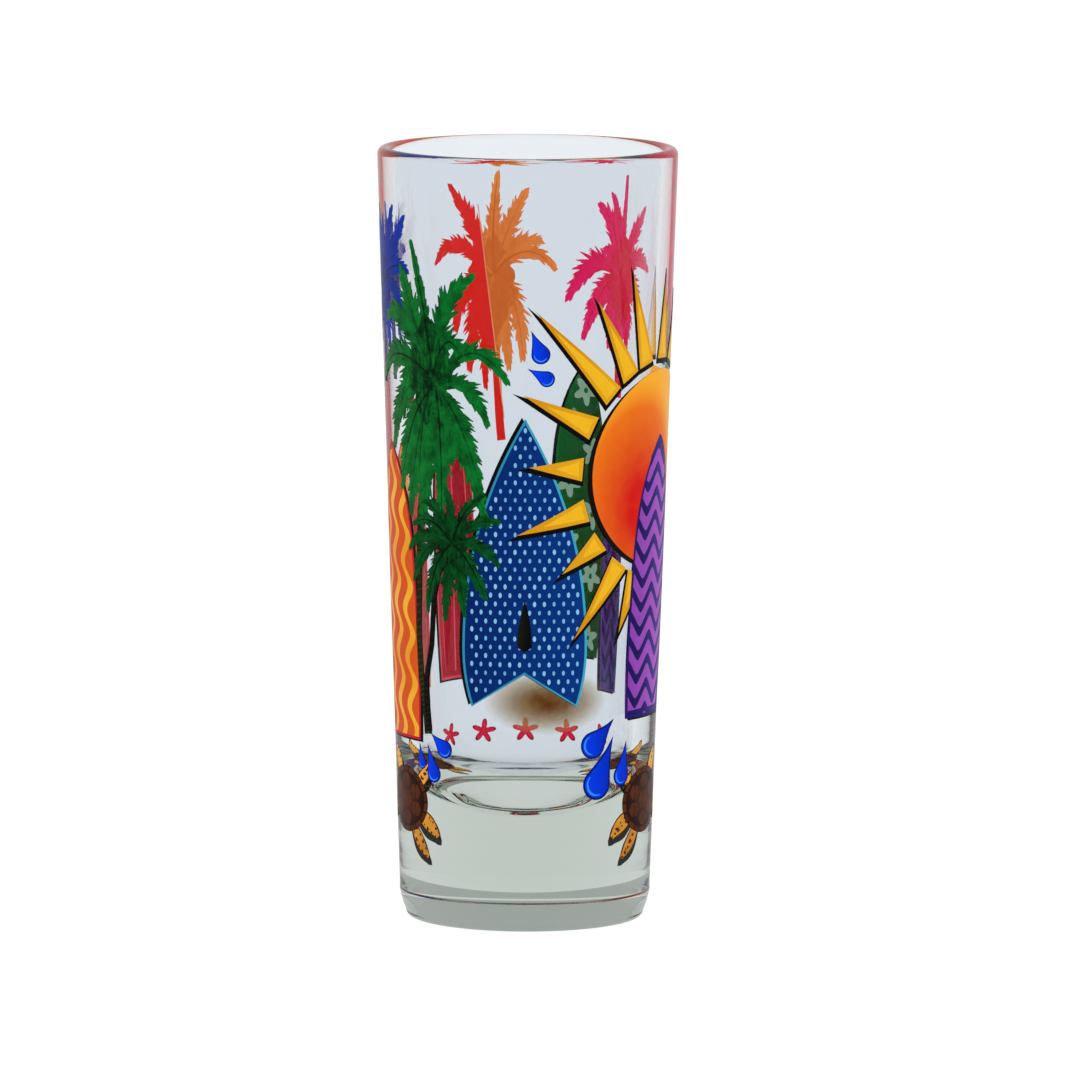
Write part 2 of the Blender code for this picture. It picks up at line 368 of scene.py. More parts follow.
@dataclass(frozen=True)
class Enamel:
    """A fired enamel: two tones of one ink, and how they are sprayed.

    Attributes:
        name: The material's name.
        dark: The colour at tone 0.
        light: The colour at tone 1.
        spray: How far the grain and the clouds move the tone.
        gloss: The roughness that the grain adds to.
        pattern: How the tone spreads over the piece.
        third: A third colour, for the patterns that have one.
        split_at: Where the split crosses the piece's own height, in millimetres to the right.
        split_lean: How far the split leans to the right for each millimetre up.
        painted_backlight_glow: How strongly the face in the glass emits its own colour: painted backlight
            through the thin enamel.
    """

    name: str
    dark: Colour
    light: Colour
    spray: float = 0.35
    gloss: float = 0.22
    pattern: Pattern = Pattern.PLAIN
    third: Colour = (0.0, 0.0, 0.0)
    split_at: float = 0.0
    split_lean: float = 0.0
    # How strongly the face in the glass emits its own colour, as painted backlight.
    painted_backlight_glow: float = 0.8

    def material(self, inside: bool = False) -> bpy.types.Material:
        """The node material of this enamel, made once for each of its faces.

        Args:
            inside: Whether it's for the face that lies in the glass, which shows painted backlight as
                emission.

        Returns:
            The material.
        """
        name = f"{self.name}_inside" if inside else self.name
        found = bpy.data.materials.get(name)
        if found:
            return found
        material, make, shader = new_material(name)
        place = make.add("ShaderNodeUVMap", uv_map="sheet").outputs[0]
        shade = make.add("ShaderNodeAttribute", attribute_name="tone").outputs["Fac"]
        brush = make.add("ShaderNodeGroup", {
            "Position": place, "Dark": rgba(self.dark), "Light": rgba(self.light), "Tone": shade,
            "Spray": self.spray, "Gloss": self.gloss}, node_tree=airbrush_group())
        colour = brush.outputs["Color"]
        if self.pattern is Pattern.SPLIT:
            colour = self._split(make, place, colour)
        if self.pattern is Pattern.SUN:
            colour = self._sun(make, shade, colour)
        make.tree.links.new(colour, shader.inputs["Base Color"])
        make.tree.links.new(brush.outputs["Roughness"], shader.inputs["Roughness"])
        if self.pattern in (Pattern.SAND, Pattern.SHADOW):
            make.tree.links.new(self._cover(make, place, shade), shader.inputs["Alpha"])
        bump = make.add("ShaderNodeBump", {"Height": brush.outputs["Height"], "Strength": 0.12,
                                           "Distance": 0.02 * MM})
        make.tree.links.new(bump.outputs[0], shader.inputs["Normal"])
        # The face in the glass emits its own colour: painted backlight, standing in for light through the
        # thin enamel.
        if inside and self.painted_backlight_glow:
            make.tree.links.new(colour, shader.inputs["Emission Color"])
            shader.inputs["Emission Strength"].default_value = self.painted_backlight_glow
        shader.inputs["Specular IOR Level"].default_value = 0.04
        return material

    def _split(self, make: NodeMaker, place: Socket, colour: Socket) -> Socket:
        """A hard slanted change to the third colour, as where two transfers meet.

        Args:
            make: The material's node maker.
            place: The flat position in millimetres.
            colour: The colour to the left of the change.

        Returns:
            The colour on both sides.
        """
        spot = make.add("ShaderNodeSeparateXYZ", {0: place}).outputs
        slant = make.maths("MULTIPLY_ADD", spot[1], -self.split_lean, -self.split_at)
        away = make.maths("ADD", spot[0], slant)
        side = make.add("ShaderNodeMapRange", {0: away, 1: -0.06, 2: 0.06}).outputs[0]
        return make.blend(side, colour, rgba(self.third))

    def _sun(self, make: NodeMaker, shade: Socket, colour: Socket) -> Socket:
        """A bright rim over the disc's two tones.

        Args:
            make: The material's node maker.
            shade: The tone, which reaches 1 at the rim.
            colour: The colour of the two tones.

        Returns:
            The colour with its rim.
        """
        rim = make.add("ShaderNodeMapRange", {0: shade, 1: 0.72, 2: 1.0}).outputs[0]
        return make.blend(rim, colour, rgba(self.third))

    def _cover(self, make: NodeMaker, place: Socket, shade: Socket) -> Socket:
        """How far a soft sprayed patch covers the glass.

        Args:
            make: The material's node maker.
            place: The flat position in millimetres.
            shade: The tone, which falls to 0 at the patch's edge.

        Returns:
            The alpha.
        """
        dust = make.noise(place, 14.0, 2.0)
        loose = make.maths("MULTIPLY", make.maths("SUBTRACT", dust, 0.5), 0.7)
        broken = make.maths("MULTIPLY", loose, make.maths("SUBTRACT", 1.0, shade))
        return make.add("ShaderNodeClamp", {0: make.maths("ADD", shade, broken)}).outputs[0]


@dataclass(frozen=True)
class ClearGlass:
    """Clear pressed soda glass, a little grey, with the faint ripple that a mould leaves.

    Attributes:
        tint: What a wall lets through.
        body_tint: What is left after the light has gone a unit of depth.
        density: How fast the body tint takes hold, per metre.
        bend: The index of refraction.
        shine: How strongly its face-on reflection shows.
    """

    tint: Colour = (0.805, 0.84, 0.885)
    body_tint: Colour = (0.27, 0.38, 0.18)
    density: float = 20.0
    bend: float = 1.52
    shine: float = 0.15

    def material(self) -> bpy.types.Material:
        """The node material of the glass.

        Returns:
            The material.
        """
        material, make, shader = new_material("clear_pressed_glass")
        shader.inputs["Base Color"].default_value = rgba(self.tint)
        shader.inputs["Specular Tint"].default_value = rgba((self.shine,) * 3)
        shader.inputs["Transmission Weight"].default_value = 1.0
        shader.inputs["IOR"].default_value = self.bend
        place = make.add("ShaderNodeTexCoord").outputs["Object"]
        long_way = make.add("ShaderNodeMapping", {"Vector": place, "Scale": (90.0, 90.0, 22.0)}).outputs[0]
        ripple = make.noise(long_way, 1.0, 1.0)
        film = make.noise(place, 260.0, 4.0)
        rough = make.add("ShaderNodeMapRange", {0: film, 1: 0.45, 2: 0.8, 3: 0.0, 4: 0.03}).outputs[0]
        bump = make.add("ShaderNodeBump", {"Height": ripple, "Strength": 0.05, "Distance": 0.001})
        make.tree.links.new(rough, shader.inputs["Roughness"])
        make.tree.links.new(bump.outputs[0], shader.inputs["Normal"])
        depth = make.add("ShaderNodeVolumeAbsorption", {
            "Color": rgba(self.body_tint), "Density": self.density}).outputs[0]
        make.tree.links.new(depth, make.tree.nodes["Material Output"].inputs["Volume"])
        return material


GREEN = Enamel("fired_palm_green", (0.0, 0.008, 0.003), (0.002, 0.17, 0.022), 1.5)
DEEP_GREEN = Enamel("fired_deep_green", (0.0, 0.004, 0.001), (0.001, 0.085, 0.014), 1.2)
PALM_BLUE = Enamel("fired_palm_blue", (0.0, 0.004, 0.07), (0.004, 0.03, 0.36), 0.4)
PALM_ORANGE = Enamel("fired_palm_orange", (0.62, 0.12, 0.008), (0.90, 0.27, 0.05), 0.35,
                     pattern=Pattern.SPLIT, third=(0.80, 0.010, 0.006), split_at=1.06, split_lean=0.134)
PALE_LINE = Enamel("fired_pale_line", (0.85, 0.20, 0.08), (0.95, 0.45, 0.25), 0.2)
PALM_MAGENTA = Enamel("fired_palm_magenta", (0.66, 0.001, 0.012), (0.86, 0.006, 0.16), 0.35)
TRUNK_BROWN = Enamel("fired_trunk", (0.003, 0.004, 0.001), (0.035, 0.035, 0.008), 0.3)
BLACK = Enamel("fired_shadow_line", (0.001, 0.001, 0.001), (0.010, 0.010, 0.006), 0.2, painted_backlight_glow=0.0)
SEA_BLUE = Enamel("fired_sea_blue", (0.0, 0.012, 0.10), (0.001, 0.045, 0.26), 0.3)
DOT_BLUE = Enamel("fired_dot_blue", (0.09, 0.32, 0.58), (0.26, 0.54, 0.76), 0.3)
RIM_BLUE = Enamel("fired_rim_blue", (0.01, 0.15, 0.30), (0.05, 0.42, 0.58), 0.3)
PURPLE = Enamel("fired_purple", (0.20, 0.035, 0.34), (0.46, 0.12, 0.62), 0.3)
WAVE_NAVY = Enamel("fired_wave_navy", (0.006, 0.003, 0.08), (0.03, 0.012, 0.20), 0.25)
ORANGE = Enamel("fired_orange", (0.52, 0.035, 0.002), (0.70, 0.12, 0.006), 0.3)
WAVE_YELLOW = Enamel("fired_wave_yellow", (0.74, 0.26, 0.008), (0.82, 0.42, 0.03), 0.3)
LEAF_GREEN = Enamel("fired_leaf_green", (0.0, 0.035, 0.006), (0.0, 0.15, 0.02), 0.4)
FLOWER = Enamel("fired_flower", (0.10, 0.26, 0.16), (0.32, 0.48, 0.34), 0.4)
CRIMSON = Enamel("fired_crimson", (0.32, 0.001, 0.010), (0.62, 0.006, 0.03), 0.4)
CORAL = Enamel("fired_coral", (0.66, 0.02, 0.05), (0.85, 0.08, 0.10), 0.3)
NAVY = Enamel("fired_navy", (0.006, 0.003, 0.04), (0.025, 0.010, 0.12), 0.3)
DUSK = Enamel("fired_dusk", (0.03, 0.012, 0.12), (0.10, 0.04, 0.24), 0.3)
SUN_RED = Enamel("fired_sun", (0.62, 0.006, 0.006), (0.85, 0.22, 0.008), 0.22, pattern=Pattern.SUN,
                 third=(0.88, 0.40, 0.02))
RAY_YELLOW = Enamel("fired_ray_yellow", (0.60, 0.24, 0.004), (0.84, 0.46, 0.014), 0.3)
DROP_BLUE = Enamel("fired_drop_blue", (0.0, 0.010, 0.32), (0.0, 0.05, 0.88), 0.18, 0.12)
DROP_RIM = Enamel("fired_drop_rim", (0.0, 0.003, 0.06), (0.0, 0.010, 0.18), 0.2, 0.12)
DROP_LIGHT = Enamel("fired_drop_light", (0.005, 0.16, 0.90), (0.08, 0.40, 0.95), 0.2, 0.12)
SHELL = Enamel("fired_shell", (0.008, 0.002, 0.001), (0.065, 0.012, 0.003), 0.5)
SCUTE = Enamel("fired_scute", (0.035, 0.007, 0.001), (0.115, 0.026, 0.004), 0.5)
SKIN = Enamel("fired_turtle_skin", (0.24, 0.05, 0.004), (0.78, 0.36, 0.04), 0.8)
SPOT = Enamel("fired_turtle_spot", (0.014, 0.004, 0.001), (0.09, 0.02, 0.004), 0.3)
STAR = Enamel("fired_starfish", (0.60, 0.002, 0.03), (0.85, 0.012, 0.06), 0.3)
SAND = Enamel("fired_sand", (0.52, 0.37, 0.13), (0.10, 0.030, 0.004), 0.4, 0.4, Pattern.SAND, painted_backlight_glow=0.0)
SHADE = Enamel("fired_soft_shadow", (0.01, 0.006, 0.002), (0.004, 0.003, 0.001), 0.1, 0.4, Pattern.SHADOW,
               painted_backlight_glow=0.0)


# ---------------------------------------------------------------- the wall and the films on it


@dataclass
class Wall:
    """The outside of the glass where the print lies: a straight taper from the heel to the lip.

    Attributes:
        heel_radius: The radius at the heel.
        heel_height: Where the taper starts.
        rim_radius: The radius at the lip.
        lip_height: Where the taper ends.
    """

    heel_radius: float
    heel_height: float
    rim_radius: float
    lip_height: float

    def radius(self, height: Union[float, np.ndarray]) -> Union[float, np.ndarray]:
        """The wall's radius at a height."""
        share = (height - self.heel_height) / (self.lip_height - self.heel_height)
        return self.heel_radius + (self.rim_radius - self.heel_radius) * share


class Film:
    """One piece of the print: flat coloured shapes that are laid on the wall together.

    Each shape has an ink, a lift (half its thickness, which is also how far it stands over the shapes below)
    and a tone from 0 to 1 between its ink's two colours. The film is cut in upright strips of one width, and
    its lifts are counted in steps: a first few for any film, and more for each layer of print under it.
    """

    STRIP = 0.7 * MM
    LIFT_STEP = 0.004 * MM
    FIRST_STEPS = 3
    LAYER_STEPS = 7
    NO_WIDTH = 0.02 * MM
    SHARP_EDGE = 35.0

    def __init__(self, name: str, turn: float, height: float, layer: int = 0) -> None:
        """Starts an empty film.

        Args:
            name: The piece's name.
            turn: Where on the wall its origin lies, in degrees to the right of the front.
            height: How high its origin lies, in metres.
            layer: How many layers of print lie under it.
        """
        self.name = name
        self.turn = turn
        self.height = height
        self.base = (self.FIRST_STEPS + self.LAYER_STEPS * layer) * self.LIFT_STEP
        self.inks: list[Enamel] = []
        self.bm = bmesh.new()
        self.tone = self.bm.verts.layers.float.new("tone")
        self.lift = self.bm.verts.layers.float.new("lift")

    def _ink(self, ink: Enamel) -> int:
        """The ink's material slot on this piece.

        Args:
            ink: The enamel, which is added to the piece's inks where it's new.

        Returns:
            The slot's number.
        """
        if ink not in self.inks:
            self.inks.append(ink)
        return self.inks.index(ink)

    def _corner(self, x: float, y: float, level: float, tone: Tone) -> bmesh.types.BMVert:
        """One corner of a shape.

        Args:
            x: How far right it lies.
            y: How far up it lies.
            level: Its shape's place over the piece's other shapes.
            tone: Its tone, or a function of x and y.

        Returns:
            The corner.
        """
        vert = self.bm.verts.new((x, y, 0.0))
        vert[self.tone] = tone(x, y) if callable(tone) else tone
        vert[self.lift] = self.base + level * self.LIFT_STEP
        return vert

    def shape(self, points: Sequence[Point], ink: Enamel, level: float = 0, tone: Tone = 0.5) -> None:
        """Adds one filled outline.

        Args:
            points: The outline's corners.
            ink: Its enamel.
            level: Its place over the piece's other shapes.
            tone: Its tone, or a function of x and y.
        """
        corners = [self._corner(x, y, level, tone) for x, y in points]
        face = self.bm.faces.new(corners)
        face.material_index = self._ink(ink)

    def ribbon(self, left: Sequence[Point], right: Sequence[Point], ink: Enamel, level: float = 0,
               tone: Tone = 0.5) -> None:
        """Adds a band between two lines with as many points each. It leaves out any part with no width.

        Args:
            left: The points along one side.
            right: The points along the other side.
            ink: Its enamel.
            level: Its place over the piece's other shapes.
            tone: Its tone, or a function of x and y.
        """
        slot = self._ink(ink)
        before = None
        for start, end in zip(left, right):
            if math.dist(start, end) < self.NO_WIDTH:
                rung = [self._corner(*start, level, tone)]
            else:
                rung = [self._corner(*start, level, tone), self._corner(*end, level, tone)]
            if before and len(before) + len(rung) > 2:
                self.bm.faces.new(before + rung[::-1]).material_index = slot
            before = rung

    def disc(self, across: float, up: float, ink: Enamel, level: float = 0, tone: Tone = 0.5,
             rings: int = 8, sectors: int = 48) -> None:
        """Adds a disc or an oval of rings about the origin, so that its tone can change from the middle out.

        Args:
            across: Half its width.
            up: Half its height.
            ink: Its enamel.
            level: Its place over the piece's other shapes.
            tone: Its tone, or a function of x and y.
            rings: How many rings it has.
            sectors: How many sectors each ring has.
        """
        slot = self._ink(ink)
        before = [self._corner(0.0, 0.0, level, tone)] * sectors
        for ring in range(1, rings + 1):
            share = ring / rings
            here = [self._corner(x * across * share, y * up * share, level, tone)
                    for x, y in circle(1.0, sectors)]
            for index in range(sectors):
                onward = (index + 1) % sectors
                corners = [before[index], here[index], here[onward]]
                if ring > 1:
                    corners.append(before[onward])
                self.bm.faces.new(corners).material_index = slot
            before = here

    def flakes(self, mesh: bpy.types.Mesh, ink: Enamel, level: float = 0) -> None:
        """Adds a flat mesh of many small shapes, with its own tones and small differences of height.

        Args:
            mesh: The mesh. Its z is added to the lift, and it may hold a tone attribute.
            ink: Its enamel.
            level: Its place over the piece's other shapes.
        """
        slot = self._ink(ink)
        tones = mesh.attributes.get("tone")
        corners = []
        for index, vertex in enumerate(mesh.vertices):
            tone = tones.data[index].value if tones else 0.5
            corner = self._corner(vertex.co.x, vertex.co.y, level, tone)
            corner[self.lift] += vertex.co.z
            corners.append(corner)
        for polygon in mesh.polygons:
            self.bm.faces.new([corners[index] for index in polygon.vertices]).material_index = slot
        bpy.data.meshes.remove(mesh)

    def _cut_in_strips(self) -> None:
        """Cuts the flat shapes in upright strips, so that they can bend round the wall."""
        self.bm.normal_update()
        bmesh.ops.triangulate(self.bm, faces=self.bm.faces[:], ngon_method="EAR_CLIP")
        places = [vert.co.x for vert in self.bm.verts]
        for step in range(math.ceil(min(places) / self.STRIP), math.floor(max(places) / self.STRIP) + 1):
            everything = self.bm.verts[:] + self.bm.edges[:] + self.bm.faces[:]
            bmesh.ops.bisect_plane(self.bm, geom=everything, dist=1e-8, plane_co=(step * self.STRIP, 0, 0),
                                   plane_no=(1, 0, 0))
        for face in self.bm.faces:
            face.normal_update()
        under = [face for face in self.bm.faces if face.normal.z < 0]
        bmesh.ops.reverse_faces(self.bm, faces=under)

    def lay_on(self, wall: Wall) -> bpy.types.Object:
        """Bends the film round the wall and gives it its thickness.

        Args:
            wall: The wall to lay it on.

        Returns:
            The piece, one closed film for each shape.
        """
        self._cut_in_strips()
        self.bm.verts.index_update()
        flat = np.array([vert.co[:2] for vert in self.bm.verts])
        lift = np.array([vert[self.lift] for vert in self.bm.verts])
        tone = np.array([vert[self.tone] for vert in self.bm.verts])
        height = self.height + flat[:, 1]
        radius = wall.radius(height)
        turn = math.radians(self.turn) + flat[:, 0] / radius
        skins = []
        for side in (1, -1):
            reach = radius + side * lift
            skins.append(np.stack([reach * np.sin(turn), -reach * np.cos(turn), height], axis=1))
        count = len(flat)
        faces, slots = [], []
        for face in self.bm.faces:
            ring = [vert.index for vert in face.verts]
            faces += [ring, [index + count for index in reversed(ring)]]
            slots += [face.material_index, face.material_index + len(self.inks)]
            for loop in face.loops:
                if len(loop.edge.link_faces) == 1:
                    start, end = loop.vert.index, loop.link_loop_next.vert.index
                    faces.append([end, start, start + count, end + count])
                    slots.append(face.material_index)
        self.bm.free()
        mesh = bpy.data.meshes.new(self.name)
        mesh.from_pydata(np.concatenate(skins), [], faces)
        mesh.polygons.foreach_set("material_index", slots)
        store(mesh, "tone", np.tile(tone, 2).astype(np.float32))
        corners = np.zeros(len(mesh.loops), np.int32)
        mesh.loops.foreach_get("vertex_index", corners)
        sheet = np.tile(flat, (2, 1))[corners] / MM
        mesh.uv_layers.new(name="sheet").data.foreach_set("uv", sheet.astype(np.float32).ravel())
        for inside in (False, True):
            for ink in self.inks:
                mesh.materials.append(ink.material(inside))
        mesh.shade_smooth()
        mesh.set_sharp_from_angle(angle=math.radians(self.SHARP_EDGE))
        return new_object(self.name, mesh)


# ---------------------------------------------------------------- geometry node trees


def tree_with_inputs(name: str, sockets: Sequence[tuple[str, str]]) -> bpy.types.NodeTree:
    """A geometry tree with a mesh in, a mesh out and named inputs.

    Args:
        name: The tree's name.
        sockets: Each extra input's name and kind.

    Returns:
        The tree, with no nodes yet.
    """
    tree = bpy.data.node_groups.new(name, "GeometryNodeTree")
    add_sockets(tree, [("Geometry", "Geometry")])
    add_sockets(tree, [("Geometry", "Geometry")], "OUTPUT")
    add_sockets(tree, sockets)
    return tree


def run_tree(tree: bpy.types.NodeTree, mesh: bpy.types.Mesh, values: dict) -> bpy.types.Mesh:
    """Runs a geometry tree on a mesh.

    Args:
        tree: The tree.
        mesh: What goes in. It is removed afterwards.
        values: Input name to value.

    Returns:
        The plain mesh that comes out.
    """
    carrier = new_object(f"{tree.name}_carrier", mesh)
    modifier = carrier.modifiers.new("nodes", "NODES")
    modifier.node_group = tree
    for item in tree.interface.items_tree:
        if item.in_out == "INPUT" and item.name in values:
            modifier[item.identifier] = values[item.name]
    result = evaluated_mesh(carrier, f"{tree.name}_result")
    bpy.data.meshes.remove(mesh)
    return result


@cache
def leaflet_tree() -> bpy.types.NodeTree:
    """Leaflets along both sides of each frond's spine.

    The mesh that goes in holds the spines as chains of edges, with the attributes along (0 at the crown, 1 at
    the tip) and heading (the spine's direction in radians).

    Returns:
        The tree, made once.
    """
    tree = tree_with_inputs("frond_leaflets", (
        ("Spacing", "Float"), ("Leaflet Length", "Float"), ("Leaflet Width", "Float"),
        ("Splay", "Float"), ("Seed", "Int"), ("Enamel", "Material")))
    make = NodeMaker(tree)
    given = make.add("NodeGroupInput")
    curves = make.add("GeometryNodeMeshToCurve", {0: given.outputs["Geometry"]})
    points = make.add("GeometryNodeResampleCurve", {
        "Curve": curves.outputs[0], "Length": given.outputs["Spacing"]}, mode="LENGTH")
    # One leaflet: a blade that is 1 long and 1 wide, which tapers and bends a little towards its tip.
    blade = make.add("GeometryNodeMeshGrid", {"Size X": 1.0, "Size Y": 1.0, "Vertices X": 5, "Vertices Y": 2})
    spot = make.add("ShaderNodeSeparateXYZ", {0: make.add("GeometryNodeInputPosition").outputs[0]})
    out_along = make.maths("ADD", spot.outputs[0], 0.5)
    taper = make.maths("SUBTRACT", 1.0, make.product(make.maths("POWER", out_along, 1.6), 0.9))
    bend = make.product(make.maths("POWER", out_along, 2.0), -0.35)
    side_way = make.sum(make.product(spot.outputs[1], taper), bend)
    shaped = make.add("GeometryNodeSetPosition", {
        "Geometry": blade.outputs[0], "Position": make.vector(out_along, side_way)})
    along, heading = make.stored("along"), make.stored("heading")
    # Leaflets are longest a third of the way out, and shorten to the tip.
    swell = make.maths("SINE", make.product(make.maths("POWER", along, 0.75), math.pi * 0.93))
    fullness = make.sum(make.product(swell, 0.85), 0.15)
    sides = []
    for side in (1, -1):
        chance = make.random(0.0, 1.0, make.sum(given.outputs["Seed"], 3.0 * side))
        wobble = make.random(-0.16, 0.16, make.sum(given.outputs["Seed"], 9.0 + side))
        narrowing = make.maths("SUBTRACT", 1.0, make.product(along, 0.45))
        splay = make.product(given.outputs["Splay"], narrowing, float(side))
        ragged = make.sum(make.product(chance, 0.5), 0.62)
        length = make.product(given.outputs["Leaflet Length"], fullness, ragged)
        width = make.product(given.outputs["Leaflet Width"], float(side))
        raised = make.add("GeometryNodeSetPosition", {
            "Geometry": points.outputs[0], "Offset": make.vector(0.0, 0.0, make.product(chance, 0.006 * MM))})
        placed = make.add("GeometryNodeInstanceOnPoints", {
            "Points": raised.outputs[0], "Instance": shaped.outputs[0],
            "Rotation": make.turn(make.sum(heading, splay, wobble)),
            "Scale": make.vector(length, width, 1.0)})
        tone = make.sum(make.product(chance, 0.55), make.product(along, 0.4))
        sides.append(make.toned(placed.outputs[0], tone))
    joined = make.add("GeometryNodeJoinGeometry")
    for side in sides:
        tree.links.new(side, joined.inputs[0])
    make.put_out(joined.outputs[0], given.outputs["Enamel"])
    return tree


@cache
def motif_tree() -> bpy.types.NodeTree:
    """A small flat motif on every vertex of the mesh that goes in: an oval dot or a flower with petals.

    Returns:
        The tree, made once.
    """
    tree = tree_with_inputs("printed_motifs", (
        ("Width", "Float"), ("Height", "Float"), ("Petals", "Int"), ("Petal Depth", "Float"),
        ("Turn Spread", "Float"), ("Size Spread", "Float"), ("Corners", "Int"), ("Seed", "Int"),
        ("Enamel", "Material")))
    make = NodeMaker(tree)
    given = make.add("NodeGroupInput")
    ring = make.add("GeometryNodeMeshCircle", {"Vertices": given.outputs["Corners"], "Radius": 0.5},
                    fill_type="NGON")
    spot = make.add("GeometryNodeInputPosition").outputs[0]
    parts = make.add("ShaderNodeSeparateXYZ", {0: spot})
    angle = make.maths("ARCTAN2", parts.outputs[1], parts.outputs[0])
    wave = make.maths("COSINE", make.product(angle, given.outputs["Petals"]))
    reach = make.sum(1.0, make.product(wave, given.outputs["Petal Depth"]))
    stretched = make.add("ShaderNodeVectorMath", {0: spot, "Scale": reach}, operation="SCALE").outputs[0]
    petalled = make.add("GeometryNodeSetPosition", {"Geometry": ring.outputs[0], "Position": stretched})
    chance = make.random(-1.0, 1.0, given.outputs["Seed"])
    swell = make.sum(1.0, make.product(chance, given.outputs["Size Spread"]))
    width, height = (make.product(given.outputs[side], swell) for side in ("Width", "Height"))
    placed = make.add("GeometryNodeInstanceOnPoints", {
        "Points": given.outputs["Geometry"], "Instance": petalled.outputs[0],
        "Rotation": make.turn(make.product(chance, given.outputs["Turn Spread"])),
        "Scale": make.vector(width, height, 1.0)})
    tone = make.maths("MULTIPLY_ADD", chance, 0.4, 0.5)
    make.put_out(make.toned(placed.outputs[0], tone), given.outputs["Enamel"])
    return tree


def printed_motifs(places: Sequence[Point], ink: Enamel, width: float, height: float, petals: int = 0,
                   depth: float = 0.0, turn: float = 0.0, spread: float = 0.0, corners: int = 14,
                   seed: int = 1) -> bpy.types.Mesh:
    """A flat mesh with one motif at each place.

    Args:
        places: Where the motifs go.
        ink: Their enamel.
        width: A motif's width.
        height: Its height.
        petals: How many lobes it has.
        depth: How deep the lobes are, as a share of the radius.
        turn: How far it may be turned, in radians.
        spread: How far its size may differ, as a share.
        corners: How many corners its outline has.
        seed: The seed of the differences.

    Returns:
        The mesh.
    """
    points = bpy.data.meshes.new("motif_places")
    points.from_pydata([(x, y, 0.0) for x, y in places], [], [])
    return run_tree(motif_tree(), points, {
        "Width": width, "Height": height, "Petals": petals, "Petal Depth": depth, "Turn Spread": turn,
        "Size Spread": spread, "Corners": corners, "Seed": seed, "Enamel": ink.material()})


# ---------------------------------------------------------------- the glass


def stand_for(piece: bpy.types.Object, node: str) -> bpy.types.Object:
    """Puts a finished piece under the frame's root, and hides the solid of the frame that it replaces.

    Args:
        piece: The piece.
        node: The solid of the frame that it replaces.

    Returns:
        The same piece.
    """
    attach(piece, ROOT)
    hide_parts(node)
    return piece


